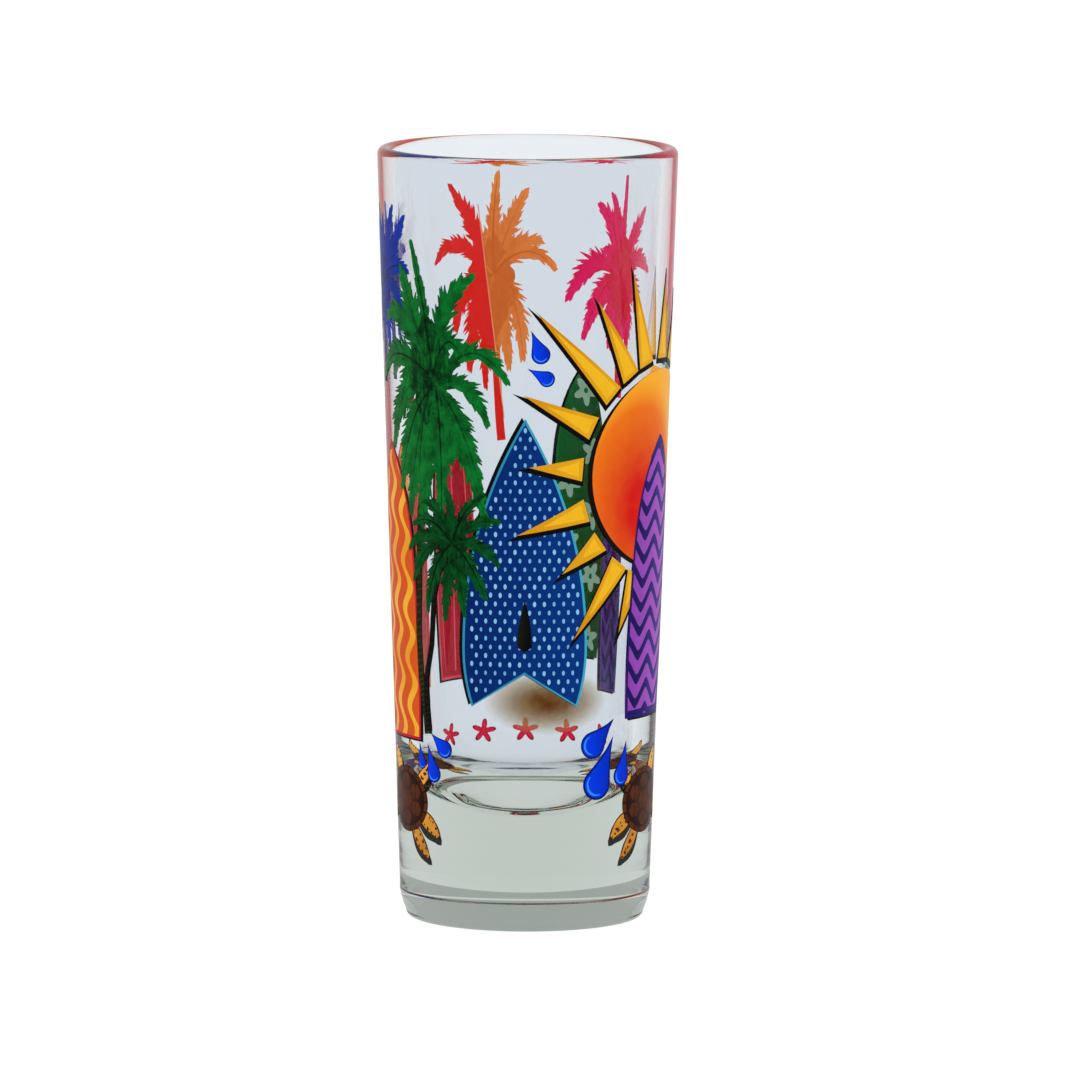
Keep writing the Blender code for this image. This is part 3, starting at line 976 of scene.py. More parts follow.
@dataclass
class GlassBody:
    """The pressed body: a round lip, a tapered wall, a dished floor, a solid base and a hollow foot.

    Attributes:
        high: The body's highest corner, which gives its rim's radius and its height.
        heel_radius: The radius at the heel line.
        heel_height: How high the heel line lies.
        heel_tuck: How far the heel draws in, down to the foot.
        heel_ridge: How far the heel line stands out.
        foot_round: The round of the foot's edge.
        rim_wall: The wall's thickness at the lip.
        base_wall: The wall's thickness at the floor.
        floor_thickness: How high the bowl's lowest point lies.
        floor_slope: The dish's slope where it meets the corner, in degrees.
        floor_corner: The radius of the corner between the dish and the wall.
        dish_ripple: Half the height of the rings in the dish.
        dish_rings: How many rings the dish has.
        push_up_depth: How deep the hollow under the foot is.
        foot_ring_width: How wide the ring is that the glass stands on.
        segments: How many steps the body is turned in.
    """

    high: Vector
    heel_radius: float = 16.45 * MM
    heel_height: float = 3.65 * MM
    heel_tuck: float = 0.78 * MM
    heel_ridge: float = 0.05 * MM
    foot_round: float = 0.8 * MM
    rim_wall: float = 1.9 * MM
    base_wall: float = 2.9 * MM
    floor_thickness: float = 13.5 * MM
    floor_slope: float = 58.0
    floor_corner: float = 5.0 * MM
    dish_ripple: float = 0.06 * MM
    dish_rings: int = 4
    push_up_depth: float = 0.9 * MM
    foot_ring_width: float = 2.4 * MM
    segments: int = 288

    def wall(self) -> Wall:
        """The straight outside that the print lies on."""
        return Wall(self.heel_radius, self.heel_height, self.high.x, self.high.z - self.rim_wall / 2)

    def _bowl(self) -> list[Point]:
        """The inside, from the axis up to the lip.

        Returns:
            The radius and the height of each point.
        """
        wall = self.wall()
        low_radius = wall.radius(self.floor_thickness) - self.base_wall
        taper = (self.high.x - self.rim_wall - low_radius) / (wall.lip_height - self.floor_thickness)
        slope = math.radians(self.floor_slope)
        rise = math.tan(slope / 2)
        inset = self.floor_corner * math.hypot(1.0, taper)
        corner_radius = (low_radius + taper * self.floor_corner - inset) / (1 - taper * rise)
        corner = (corner_radius, self.floor_thickness + self.floor_corner + corner_radius * rise)
        dish_radius = self.floor_corner + corner_radius / math.sin(slope)
        steps = 64
        middle = (0.0, self.floor_thickness + dish_radius)
        dish = []
        for step, (x, z) in enumerate(arc(middle, dish_radius, -90, self.floor_slope - 90, steps)):
            ring = 1 - math.cos(2 * math.pi * self.dish_rings * step / steps)
            dish.append((x, z + self.dish_ripple * ring * (1 - step / steps)))
        tilt = -math.degrees(math.atan(taper))
        return dish + arc(corner, self.floor_corner, self.floor_slope - 90, tilt, 16)[1:]

    def _outside(self) -> list[Point]:
        """The lip, the wall and the heel, down to the foot.

        Returns:
            The radius and the height of each point.
        """
        wall = self.wall()
        lip = arc((self.high.x - self.rim_wall / 2, wall.lip_height), self.rim_wall / 2, 180, 0, 24)
        tucked = self.heel_radius - self.heel_tuck
        heel = [(self.heel_radius + self.heel_ridge, self.heel_height)]
        steps = 8
        for step in range(1, steps):
            share = step / steps
            heel.append((self.heel_radius - self.heel_tuck * share**1.5,
                         self.heel_height + (self.foot_round - self.heel_height) * share))
        ledge = [(self.heel_radius + self.heel_ridge * 0.2, self.heel_height + 0.35 * MM)]
        foot = arc((tucked - self.foot_round, self.foot_round), self.foot_round, 0, -90, 10)
        return lip + ledge + heel + foot

    def _underside(self) -> list[Point]:
        """The hollow under the foot, in to the axis.

        Returns:
            The radius and the height of each point.
        """
        radius = self.heel_radius - self.heel_tuck - self.foot_round - self.foot_ring_width
        steps = 16
        shares = [1 - step / steps for step in range(steps + 1)]
        return [(radius * share, self.push_up_depth * (1 - share**2)) for share in shares]

    def build(self) -> bpy.types.Object:
        """Turns the profile into the body and dresses it.

        Returns:
            The glass.
        """
        profile = self._bowl() + self._outside() + self._underside()
        line = bpy.data.meshes.new("glass_profile")
        line.from_pydata([(x, 0.0, z) for x, z in profile], [(i, i + 1) for i in range(len(profile) - 1)], [])
        lathe = new_object("glass_lathe", line)
        screw = lathe.modifiers.new("turn", "SCREW")
        screw.steps = screw.render_steps = self.segments
        screw.use_merge_vertices = True
        screw.merge_threshold = 0.01 * MM
        mesh = evaluated_mesh(lathe, "glass")
        mesh.materials.append(ClearGlass().material())
        mesh.shade_smooth()
        mesh.set_sharp_from_angle(angle=math.radians(12))
        return stand_for(new_object("pressed_glass", mesh), "glass_body")


# ---------------------------------------------------------------- the motifs of the print


@dataclass
class Motif:
    """One piece of the print. Its kind draws it flat on a film, which is then laid on the wall.

    Attributes:
        node: The solid of the frame that it replaces.
        slot: The record's material slot. It is not used.
        turn: Where its origin lies, in degrees to the right of the front.
        height: How high its origin lies, in metres.
        layer: How many layers of print lie under it.
    """

    node: str
    slot: str
    turn: float
    height: float
    layer: int = field(default=0, kw_only=True)

    def draw(self, film: Film) -> None:
        """Draws the motif on its film, which each kind does in its own way."""
        raise NotImplementedError

    def build(self, wall: Wall) -> bpy.types.Object:
        """Draws the motif and lays it on the wall.

        Args:
            wall: The wall to lay it on.

        Returns:
            The piece.
        """
        film = Film(f"print_{self.node}", self.turn, self.height, self.layer)
        self.draw(film)
        return stand_for(film.lay_on(wall), self.node)


@dataclass(frozen=True)
class Frond:
    """One frond's spine, in millimetres from the crown, and its leaflets' length.

    Attributes:
        root: Where it leaves the crown.
        bend: The point that it bends towards.
        tip: Its end.
        leaf: Its longest leaflet.
    """

    root: Point
    bend: Point
    tip: Point
    leaf: float = 2.0

    def spine(self, steps: int = 14) -> list[Point]:
        """Points along the spine, in metres.

        Args:
            steps: How many chords it is cut in.

        Returns:
            The points, from the crown to the tip.
        """
        points = []
        for step in range(steps + 1):
            share = step / steps
            weights = ((1 - share) ** 2, 2 * share * (1 - share), share**2)
            pulls = tuple(zip(weights, (self.root, self.bend, self.tip)))
            x, y = (sum(weight * point[axis] for weight, point in pulls) for axis in (0, 1))
            points.append((x * MM, y * MM))
        return points


def headings(points: Sequence[Point]) -> list[float]:
    """The direction of a line at each of its points, in radians, with no jumps of a full turn.

    Args:
        points: The line.

    Returns:
        One direction for each point.
    """
    found: list[float] = []
    for index in range(len(points)):
        before, after = points[max(index - 1, 0)], points[min(index + 1, len(points) - 1)]
        angle = math.atan2(after[1] - before[1], after[0] - before[0])
        if found:
            angle += 2 * math.pi * round((found[-1] - angle) / (2 * math.pi))
        found.append(angle)
    return found


def stroke(points: Sequence[Point], widths: Sequence[float]) -> tuple[list[Point], list[Point]]:
    """The two sides of a brush stroke along a line.

    Args:
        points: The line.
        widths: The stroke's width at each point.

    Returns:
        The left side and the right side.
    """
    left, right = [], []
    for (x, y), heading, width in zip(points, headings(points), widths):
        aside = (-math.sin(heading) * width / 2, math.cos(heading) * width / 2)
        left.append((x + aside[0], y + aside[1]))
        right.append((x - aside[0], y - aside[1]))
    return left, right


@dataclass
class Palm(Motif):
    """A palm in sprayed silhouette: a crown of fronds with leaflets, hanging old fronds and a bent trunk.

    Its origin is its crown.

    Attributes:
        fronds: Its fronds.
        trunk: The points down its trunk, in millimetres from the crown, each with the width there.
        leaves: The leaves' enamel.
        bark: The trunk's enamel.
        heart: Half the width and half the height of the crown's solid heart, in millimetres.
        heart_at: Where the heart lies, in millimetres from the crown.
        spacing: How far apart the leaflets stand along a spine.
        leaflet_width: A leaflet's width at its foot.
        splay: How far a leaflet at the crown turns away from its spine, in radians.
        fullness: How many times as long a leaflet is as its frond says.
        spine_width: A spine's width at the crown.
        ring_pitch: How far apart the trunk's rings lie.
        seed: The seed of the leaflets.
    """

    fronds: Sequence[Frond]
    trunk: Sequence[Place]
    leaves: Enamel
    bark: Enamel
    heart: Point
    heart_at: Point
    spacing: float = 0.28 * MM
    leaflet_width: float = 0.78 * MM
    splay: float = 0.88
    fullness: float = 1.4
    spine_width: float = 0.42 * MM
    ring_pitch: float = 0.9 * MM
    seed: int = 1

    def _spines(self, leaf: float) -> bpy.types.Mesh:
        """The spines of the fronds with this length of leaflet, as chains of edges.

        Args:
            leaf: The leaflet length that they share.

        Returns:
            A mesh with the attributes along and heading.
        """
        places, edges, along, heading = [], [], [], []
        for frond in self.fronds:
            if frond.leaf != leaf:
                continue
            spine = frond.spine()
            start = len(places)
            places += [(x, y, 0.0) for x, y in spine]
            edges += [(start + step, start + step + 1) for step in range(len(spine) - 1)]
            along += [step / (len(spine) - 1) for step in range(len(spine))]
            heading += headings(spine)
        mesh = bpy.data.meshes.new(f"{self.node}_spines")
        mesh.from_pydata(places, edges, [])
        store(mesh, "along", along)
        store(mesh, "heading", heading)
        return mesh

    def _draw_trunk(self, film: Film) -> None:
        """Draws the trunk with the rings that old fronds leave on it.

        Args:
            film: The film to draw on.
        """
        line = [(x * MM, y * MM) for x, y, _ in self.trunk]
        widths = [width * MM for _, _, width in self.trunk]
        film.ribbon(*stroke(line, widths), self.bark, 0, 0.25)
        length = sum(math.dist(a, b) for a, b in zip(line, line[1:]))
        rings = int(length / self.ring_pitch)
        for ring in range(rings):
            share = (ring + 0.5) / rings * (len(line) - 1)
            index = min(int(share), len(line) - 2)
            part = share - index
            x = line[index][0] + part * (line[index + 1][0] - line[index][0])
            y = line[index][1] + part * (line[index + 1][1] - line[index][1])
            half = (widths[index] + part * (widths[index + 1] - widths[index])) / 2
            top = [(x - 0.8 * half, y), (x, y + 0.16 * MM), (x + 0.75 * half, y + 0.3 * MM)]
            film.ribbon(moved(top, 0.0, -0.2 * MM), top, self.bark, 0.7, 0.9)

    def _draw_fronds(self, film: Film) -> None:
        """Draws the leaflets, and then the spines over them.

        Args:
            film: The film to draw on.
        """
        for number, leaf in enumerate(sorted({frond.leaf for frond in self.fronds})):
            leaflets = run_tree(leaflet_tree(), self._spines(leaf), {
                "Spacing": self.spacing, "Leaflet Length": leaf * self.fullness * MM,
                "Leaflet Width": self.leaflet_width, "Splay": self.splay, "Seed": self.seed + 20 * number,
                "Enamel": self.leaves.material()})
            film.flakes(leaflets, self.leaves, 1.2)
        for number, frond in enumerate(self.fronds):
            spine = frond.spine()
            widths = [self.spine_width * (1 - 0.85 * step / (len(spine) - 1)) for step in range(len(spine))]
            level, tone = 3.0 + 0.1 * (number % 4), 0.05 + 0.25 * (number % 3)
            film.ribbon(*stroke(spine, widths), self.leaves, level, tone)

    def _draw_heart(self, film: Film) -> None:
        """Draws the crown's solid heart, with a ragged edge.

        Args:
            film: The film to draw on.
        """
        edge = []
        for index, (x, y) in enumerate(circle(1.0, 40)):
            across = x * self.heart[0] * MM * (1 + 0.16 * math.cos(9 * index))
            up = y * self.heart[1] * MM * (1 + 0.16 * math.sin(7 * index))
            edge.append((self.heart_at[0] * MM + across, self.heart_at[1] * MM + up))
        film.shape(edge, self.leaves, 2.8, 0.2)

    def _draw_split(self, film: Film) -> None:
        """Draws the pale line where two transfers meet.

        Args:
            film: The film to draw on.
        """
        line = []
        for step in range(16):
            up = 9.5 - 1.9 * step
            line.append(((self.leaves.split_at + self.leaves.split_lean * up) * MM, up * MM))
        film.ribbon(*stroke(line, [0.14 * MM] * len(line)), PALE_LINE, 4.0, lambda x, y: 0.5 - y / (40 * MM))

    def draw(self, film: Film) -> None:
        """Draws the trunk, the crown and what lies over it.

        Args:
            film: The film to draw on.
        """
        self._draw_trunk(film)
        self._draw_fronds(film)
        self._draw_heart(film)
        if self.leaves.pattern is Pattern.SPLIT:
            self._draw_split(film)


class BoardPattern(Enum):
    """What is printed on a surfboard."""

    DOTS = "dots"
    ZIGZAG = "zigzag"
    WAVES = "waves"
    FLOWERS = "flowers"
    PINSTRIPE = "pinstripe"


@dataclass
class Surfboard(Motif):
    """A surfboard that stands on its tail, with a repeating pattern between its rails.

    Its origin is the middle of its tail.

    Attributes:
        width: Its width where it's widest.
        length: Its length.
        ground: The enamel under the pattern.
        figure: The enamel of the pattern.
        pattern: The pattern.
        rim: The enamel of the line along its rails.
        notch: How deep its tail is cut.
        lean: How far it leans to the right for each metre up.
        shadow: How far its sprayed shadow is moved, across and up.
        fin: Whether a fin is drawn on it.
        widest: Where it is widest, as a share of its length.
        tail_share: The tail's width as a share of the greatest.
        taper: How late it narrows to its nose.
    """

    width: float
    length: float
    ground: Enamel
    figure: Enamel
    pattern: BoardPattern
    rim: Enamel
    notch: float = 0.0
    lean: float = 0.0
    shadow: Point = (0.55 * MM, -0.25 * MM)
    fin: bool = False
    widest: float = 0.35
    tail_share: float = 0.86
    taper: float = 4.5

    def half(self, up: float) -> float:
        """Half the board's width.

        Args:
            up: The height over its tail.

        Returns:
            Half the width there.
        """
        share = min(max(up / self.length, 0.0), 1.0)
        if share < self.widest:
            return self.width / 2 * (1 - (1 - self.tail_share) * ((self.widest - share) / self.widest) ** 2)
        return self.width / 2 * (1 - ((share - self.widest) / (1 - self.widest)) ** self.taper)

    def _leaned(self, points: Sequence[Point]) -> list[Point]:
        """The same points after the board leans."""
        return [(x + self.lean * y, y) for x, y in points]

    def outline(self, inset: float = 0.0, steps: int = 44) -> list[Point]:
        """The board's outline.

        Args:
            inset: How far inside the rails it runs.
            steps: How many chords each rail is cut in.

        Returns:
            The corners, from the middle of the tail.
        """
        low, high = inset, self.length - 2.2 * inset
        rail = []
        for step in range(steps + 1):
            up = low + (high - low) * step / steps
            rail.append((max(self.half(up) - inset, 0.0), up))
        rail[-1] = (0.0, high)
        tail = [(0.0, self.notch + inset)] if self.notch else []
        return self._leaned(tail + rail + [(-x, y) for x, y in rail[-2::-1]])

    def _draw_rim(self, film: Film) -> None:
        """Draws the line along the rails."""
        outer, inner = self.outline(), self.outline(0.34 * MM)
        film.ribbon(outer + outer[:1], inner + inner[:1], self.rim, 3.6, lambda x, y: 0.3 + 0.4 * (x > 0))

    def _draw_dots(self, film: Film) -> None:
        """Draws staggered oval dots.

        Args:
            film: The film to draw on.
        """
        across, up = 1.28 * MM, 1.14 * MM
        places = []
        for row in range(1, int(self.length / up)):
            height = row * up
            reach = self.half(height) - 0.75 * MM
            for column in range(-8, 9):
                x = (column + 0.5 * (row % 2)) * across
                in_notch = height < self.notch * (1 - abs(x) / self.half(0.0)) + 0.85 * MM
                if abs(x) < reach and not in_notch:
                    places.append((x + self.lean * height, height))
        dots = printed_motifs(places, self.figure, 0.40 * MM, 0.65 * MM, spread=0.12, corners=12, seed=4)
        film.flakes(dots, self.figure, 2.0)

    def _draw_zigzag(self, film: Film, pitch: float = 3.15 * MM, swing: float = 1.27 * MM) -> None:
        """Draws rounded zigzag bands across the board.

        Args:
            film: The film to draw on.
            pitch: The height from one band to the next.
            swing: How far a band rises and falls.
        """
        period = self.width / 2.05
        for band in range(-1, int(self.length / pitch) + 2):
            low, high = [], []
            for step in range(73):
                x = self.width * (step / 72 - 0.5)
                wave = math.asin(0.93 * math.sin(2 * math.pi * (x / period + 0.3))) / math.asin(0.93)
                middle = band * pitch + swing * wave
                if abs(x) > self.half(middle) - 0.12 * MM or not 0.3 * MM < middle < self.length - 1.2 * MM:
                    continue
                thick = pitch * 0.21
                low.append((x, max(middle - thick, 0.1 * MM)))
                high.append((x, middle + thick))
            if len(low) > 2:
                film.ribbon(self._leaned(low), self._leaned(high), self.figure, 2.0,
                            lambda x, y: 0.5 + 0.4 * math.sin(x / (2 * MM)))

    def _draw_waves(self, film: Film) -> None:
        """Draws upright wavy stripes.

        Args:
            film: The film to draw on.
        """
        period = 6.4 * MM
        for stripe in (-1, 0, 1):
            left, right = [], []
            for step in range(121):
                up = 0.2 * MM + (self.length - 1.6 * MM) * step / 120
                reach = max(self.half(up) - 0.2 * MM, 0.0)
                phase = 2 * math.pi * up / period
                middle = stripe * 3.1 * MM + 0.85 * MM * math.sin(phase + 0.6 * stripe)
                thick = (0.62 + 0.12 * math.sin(phase + 2)) * MM
                left.append((min(max(middle - thick, -reach), reach), up))
                right.append((min(max(middle + thick, -reach), reach), up))
            film.ribbon(self._leaned(left), self._leaned(right), self.figure, 2.0,
                        lambda x, y: 0.5 + 0.35 * math.sin(y / (2.2 * MM)))

    def _draw_flowers(self, film: Film) -> None:
        """Draws loose rows of five-petalled flowers with open hearts.

        Args:
            film: The film to draw on.
        """
        places = []
        for row in range(int(self.length / (4.1 * MM))):
            up = (2.6 + 4.1 * row) * MM
            reach = self.half(up) - 1.75 * MM
            if reach > 0:
                places.append(((reach if row % 2 else -reach) * 0.8 + self.lean * up, up))
        flowers = printed_motifs(places, self.figure, 2.9 * MM, 2.9 * MM, petals=5, depth=0.34, turn=1.4,
                                 spread=0.14, corners=45, seed=11)
        film.flakes(flowers, self.figure, 2.0)
        hearts = printed_motifs(places, self.ground, 0.75 * MM, 0.75 * MM, corners=12, seed=11)
        film.flakes(hearts, self.ground, 2.6)

    def _draw_pinstripe(self, film: Film) -> None:
        """Draws a stringer down the middle, and a fine line inside each rail.

        Args:
            film: The film to draw on.
        """
        for side in (-1, 0, 1):
            line = []
            for step in range(41):
                up = 1.0 * MM + (self.length - 4.0 * MM) * step / 40
                line.append((side * max(self.half(up) - 1.25 * MM, 0.0), up))
            width = 0.2 * MM if side else 0.34 * MM
            film.ribbon(*stroke(self._leaned(line), [width] * len(line)), self.figure, 2.0 + 0.2 * side,
                        lambda x, y: 0.5 + 0.4 * math.sin(y / (3 * MM)))

    def _draw_fin(self, film: Film) -> None:
        """Draws one slim fin over the tail.

        Args:
            film: The film to draw on.
        """
        low = self.length * 0.21
        fin = ((-0.95, 0.0), (0.0, -0.6), (0.95, 0.0), (0.85, 2.2), (0.45, 4.6), (0.0, 6.4), (-0.45, 4.2),
               (-0.88, 2.0))
        film.shape([(x * MM + self.lean * low, y * MM + low) for x, y in fin], BLACK, 2.9,
                   lambda x, y: 0.9 if x < 0 else 0.1)

    def draw(self, film: Film) -> None:
        """Draws the shadow, the board, its pattern and its rim.

        Args:
            film: The film to draw on.
        """
        film.shape(moved(self.outline(), *self.shadow), BLACK, 0.0, 0.2)
        film.shape(self.outline(), self.ground, 1.0, lambda x, y: 0.35 + 0.5 * x / self.width)
        draw = {BoardPattern.DOTS: self._draw_dots, BoardPattern.ZIGZAG: self._draw_zigzag,
                BoardPattern.WAVES: self._draw_waves, BoardPattern.FLOWERS: self._draw_flowers,
                BoardPattern.PINSTRIPE: self._draw_pinstripe}[self.pattern]
        draw(film)
        self._draw_rim(film)
        if self.fin:
            self._draw_fin(film)


@dataclass
class Sun:
    """The sun: a disc that reddens to one side, in a ring of separate rays with black sprayed edges.

    Attributes:
        turn: Where its middle lies, in degrees to the right of the front.
        height: How high its middle lies, in metres.
        radius: The disc's radius.
        gap: The gap from the disc to its rays.
        ray_width: A ray's width at its foot.
        rays: Each ray's direction in degrees, and how far its tip reaches, in millimetres.
    """

    turn: float
    height: float
    radius: float = 12.9 * MM
    gap: float = 1.4 * MM
    ray_width: float = 3.1 * MM
    rays: Sequence[Point] = ((72, 23), (88, 25), (106, 27), (120, 26), (135, 30.5), (155, 25), (177, 21.5),
                             (199, 24), (218, 21), (236, 26), (250, 22.5))

    def _disc_tone(self, x: float, y: float) -> float:
        """The disc's tone: red at its low heart, and bright at its rim."""
        away = math.hypot(x + 4.6 * MM, (y + 4.4 * MM) * 0.72) / self.radius
        return min(max((away - 0.16) * 1.3, 0.0), 1.0)

    def _ray(self, angle: float, reach: float, narrower: float = 0.0) -> list[Point]:
        """One ray's outline, with its foot square to its direction.

        Args:
            angle: Its direction in degrees.
            reach: How far its tip reaches, in metres.
            narrower: How far its sides are moved in.

        Returns:
            The corners.
        """
        near = self.radius + self.gap + narrower
        half = self.ray_width / 2 - narrower
        return turned([(near, -half), (reach - 3 * narrower, 0.0), (near, half)], angle)

    def build(self, wall: Wall) -> list[bpy.types.Object]:
        """Draws the disc and the rays.

        Args:
            wall: The wall to lay them on.

        Returns:
            The disc, and then its rays.
        """
        disc = Film("print_sun_disc", self.turn, self.height, 3)
        sectors = 72
        disc.shape(moved(circle(self.radius, sectors), -0.65 * MM, -0.3 * MM), BLACK, 0.0, 0.4)
        disc.disc(self.radius, self.radius, SUN_RED, 1.0, self._disc_tone, rings=12, sectors=sectors)
        pieces = [stand_for(disc.lay_on(wall), "sun_disc")]
        for number, (angle, reach) in enumerate(self.rays, start=1):
            ray = Film(f"print_sun_ray_{number:02d}", self.turn, self.height, 2)
            edge = self._ray(angle, reach * MM + 0.6 * MM, -0.28 * MM)
            ray.shape(moved(edge, -0.1 * MM, -0.4 * MM), BLACK, 0.0, 0.2)
            tone_turn = math.radians(angle)
            ray.shape(self._ray(angle, reach * MM), RAY_YELLOW, 1.0,
                      lambda x, y, t=tone_turn: 1.15 - 0.045 * (x * math.cos(t) + y * math.sin(t)) / MM)
            ray.shape(self._ray(angle, reach * MM - 1.8 * MM, 0.55 * MM), RAY_YELLOW, 1.6, 0.92)
            pieces.append(stand_for(ray.lay_on(wall), f"sun_ray_{number:02d}"))
        return pieces


@dataclass
class Drop(Motif):
    """A splashed drop of water: a round bulb with a drawn-out tip, a dark rim and a light line inside it.

    Its origin is the middle of its bulb.

    Attributes:
        radius: The bulb's radius.
        reach: How far its tip reaches from the bulb's middle.
        angle: The direction of its tip in degrees.
    """

    radius: float
    reach: float
    angle: float

    def _outline(self, inset: float) -> list[Point]:
        """The drop's outline, with sides that curve in towards the tip.

        Args:
            inset: How far inside the rim it runs.

        Returns:
            The corners.
        """
        radius, reach = self.radius - inset, self.reach - 2.6 * inset
        shoulder = math.degrees(math.acos(radius / reach)) * 0.86
        bulb = arc((0.0, 0.0), radius, shoulder, 360 - shoulder, 28)
        sides = []
        for share in (0.2, 0.42, 0.66):
            x, y = bulb[-1]
            sides.append((x + (reach - x) * share, y * (1 - share) ** 1.35))
        return turned(bulb + sides + [(reach, 0.0)] + [(x, -y) for x, y in sides[::-1]], self.angle)

    def draw(self, film: Film) -> None:
        """Draws the rim, the bulb and the light line.

        Args:
            film: The film to draw on.
        """
        film.shape(self._outline(0.0), DROP_RIM, 0.0, 0.6)
        film.shape(self._outline(0.13 * self.radius), DROP_BLUE, 1.0,
                   lambda x, y: 0.55 - 0.3 * x / self.radius)
        bow = arc((0.0, 0.0), self.radius * 0.70, self.angle + 62, self.angle + 228, 16)
        widths = [0.15 * self.radius * math.sin(math.pi * (step + 0.3) / 16.6) for step in range(len(bow))]
        film.ribbon(*stroke(bow, widths), DROP_LIGHT, 2.0, 0.35)


@dataclass
class Turtle(Motif):
    """A sea turtle that crawls up the sand: a domed shell of plates, spotted flippers and a soft shadow.

    Its origin is the middle of its shell.

    Attributes:
        side: 1 where its head points to the left, and -1 where to the right.
        width: Half the shell's width.
        rise: Half the shell's height.
    """

    # Each limb's direction in degrees, its reach and width in millimetres, and its bend in degrees.
    LIMBS = ((35, 3.3, 1.9, 8), (190, 3.3, 1.9, 10), (-25, 3.6, 2.4, -8), (-60, 4.7, 2.1, 6),
             (120, 3.4, 2.6, 0))

    side: int
    width: float = 5.2 * MM
    rise: float = 4.4 * MM

    def _paddle(self, angle: float, reach: float, wide: float,
                bend: float) -> tuple[list[Point], list[float]]:
        """The middle line and the widths of a limb.

        Args:
            angle: Its direction in degrees.
            reach: How far it stands beyond the shell, in millimetres.
            wide: Its greatest width in millimetres.
            bend: How far its end bends round, in degrees.

        Returns:
            The points and the widths along it.
        """
        turn = math.radians(angle)
        flat = math.hypot(self.rise * math.cos(turn), self.width * math.sin(turn))
        shell = self.width * self.rise / flat
        points, widths = [], []
        for step in range(15):
            share = step / 14
            away = shell * 0.55 + (shell * 0.45 + reach * MM) * share
            heading = turn + math.radians(bend) * share**2
            points.append((self.side * away * math.cos(heading), away * math.sin(heading)))
            swell = 0.55 + 0.45 * math.sin(math.pi * min(share * 1.15, 1.0) ** 1.3)
            widths.append(wide * MM * swell * math.sqrt(max(1 - share**6, 0.0)))
        return points, widths

    def _spots(self, line: Sequence[Point], widths: Sequence[float]) -> list[Point]:
        """Where the spots of a limb go: two loose rows along it.

        Args:
            line: The limb's middle line.
            widths: Its width at each point.

        Returns:
            The places.
        """
        places = []
        for index in range(4, len(line) - 2):
            (x, y), width = line[index], widths[index]
            sway = 0.27 * width * (1 if index % 2 else -1)
            places.append((x + sway * 0.6, y + sway))
        return places

    def _draw_limbs(self, film: Film) -> None:
        """Draws the limbs' soft shadow, and then the limbs with their spots.

        Args:
            film: The film to draw on.
        """
        limbs = [self._paddle(*limb) for limb in self.LIMBS]
        for number, (line, widths) in enumerate(limbs):
            left, right = stroke(line, [width * 1.25 for width in widths])
            sunk = (self.side * 0.25 * MM, -0.75 * MM)
            film.ribbon(moved(left, *sunk), moved(right, *sunk), SHADE, -0.4 + 0.1 * number, 0.8)
        for number, (line, widths) in enumerate(limbs):
            skin = stroke(line[:-1], [width * 0.84 for width in widths[:-1]])
            film.ribbon(*stroke(line, widths), SPOT, 1.0 + 0.1 * number, 0.4)
            film.ribbon(*skin, SKIN, 1.6 + 0.1 * number, lambda x, y: 0.75 + 0.05 * y / MM)
            spots = printed_motifs(self._spots(line, widths), SPOT, 0.42 * MM, 0.34 * MM, petals=3, depth=0.2,
                                   turn=2.0, spread=0.4, corners=12, seed=5 + number)
            film.flakes(spots, SPOT, 2.3)

    def _draw_shell(self, film: Film) -> None:
        """Draws the dome with its plates, and the ring of small plates at its edge.

        Args:
            film: The film to draw on.
        """
        film.disc(self.width, self.rise, SHELL, 3.0,
                  lambda x, y: 0.9 - math.hypot(x / self.width, y / self.rise))
        plates = [((0.0, 0.0), 0.30), ((0.0, 0.56), 0.24), ((0.0, -0.56), 0.24)]
        plates += [((math.cos(a) * 0.56, math.sin(a) * 0.50), 0.24) for a in (0.55, 2.59, -0.55, -2.59)]
        for (x, y), size in plates:
            plate = [(self.side * (x + size * px) * self.width, (y + size * py) * self.rise)
                     for px, py in circle(1.0, 6)]
            film.shape(plate, SCUTE, 3.6, lambda px, py, cy=y: 0.55 + 0.5 * (py / self.rise - cy))
        for step in range(18):
            start, end = 20 * step + 1.5, 20 * step + 18.5
            outer = [(self.side * px * self.width * 0.985, py * self.rise * 0.985)
                     for px, py in arc((0.0, 0.0), 1.0, start, end, 4)]
            inner = [(px * 0.87, py * 0.85) for px, py in outer]
            film.ribbon(outer, inner, SCUTE, 3.7, 0.3 + 0.4 * (step % 2))

    def draw(self, film: Film) -> None:
        """Draws the limbs, and the shell over them."""
        self._draw_limbs(film)
        self._draw_shell(film)


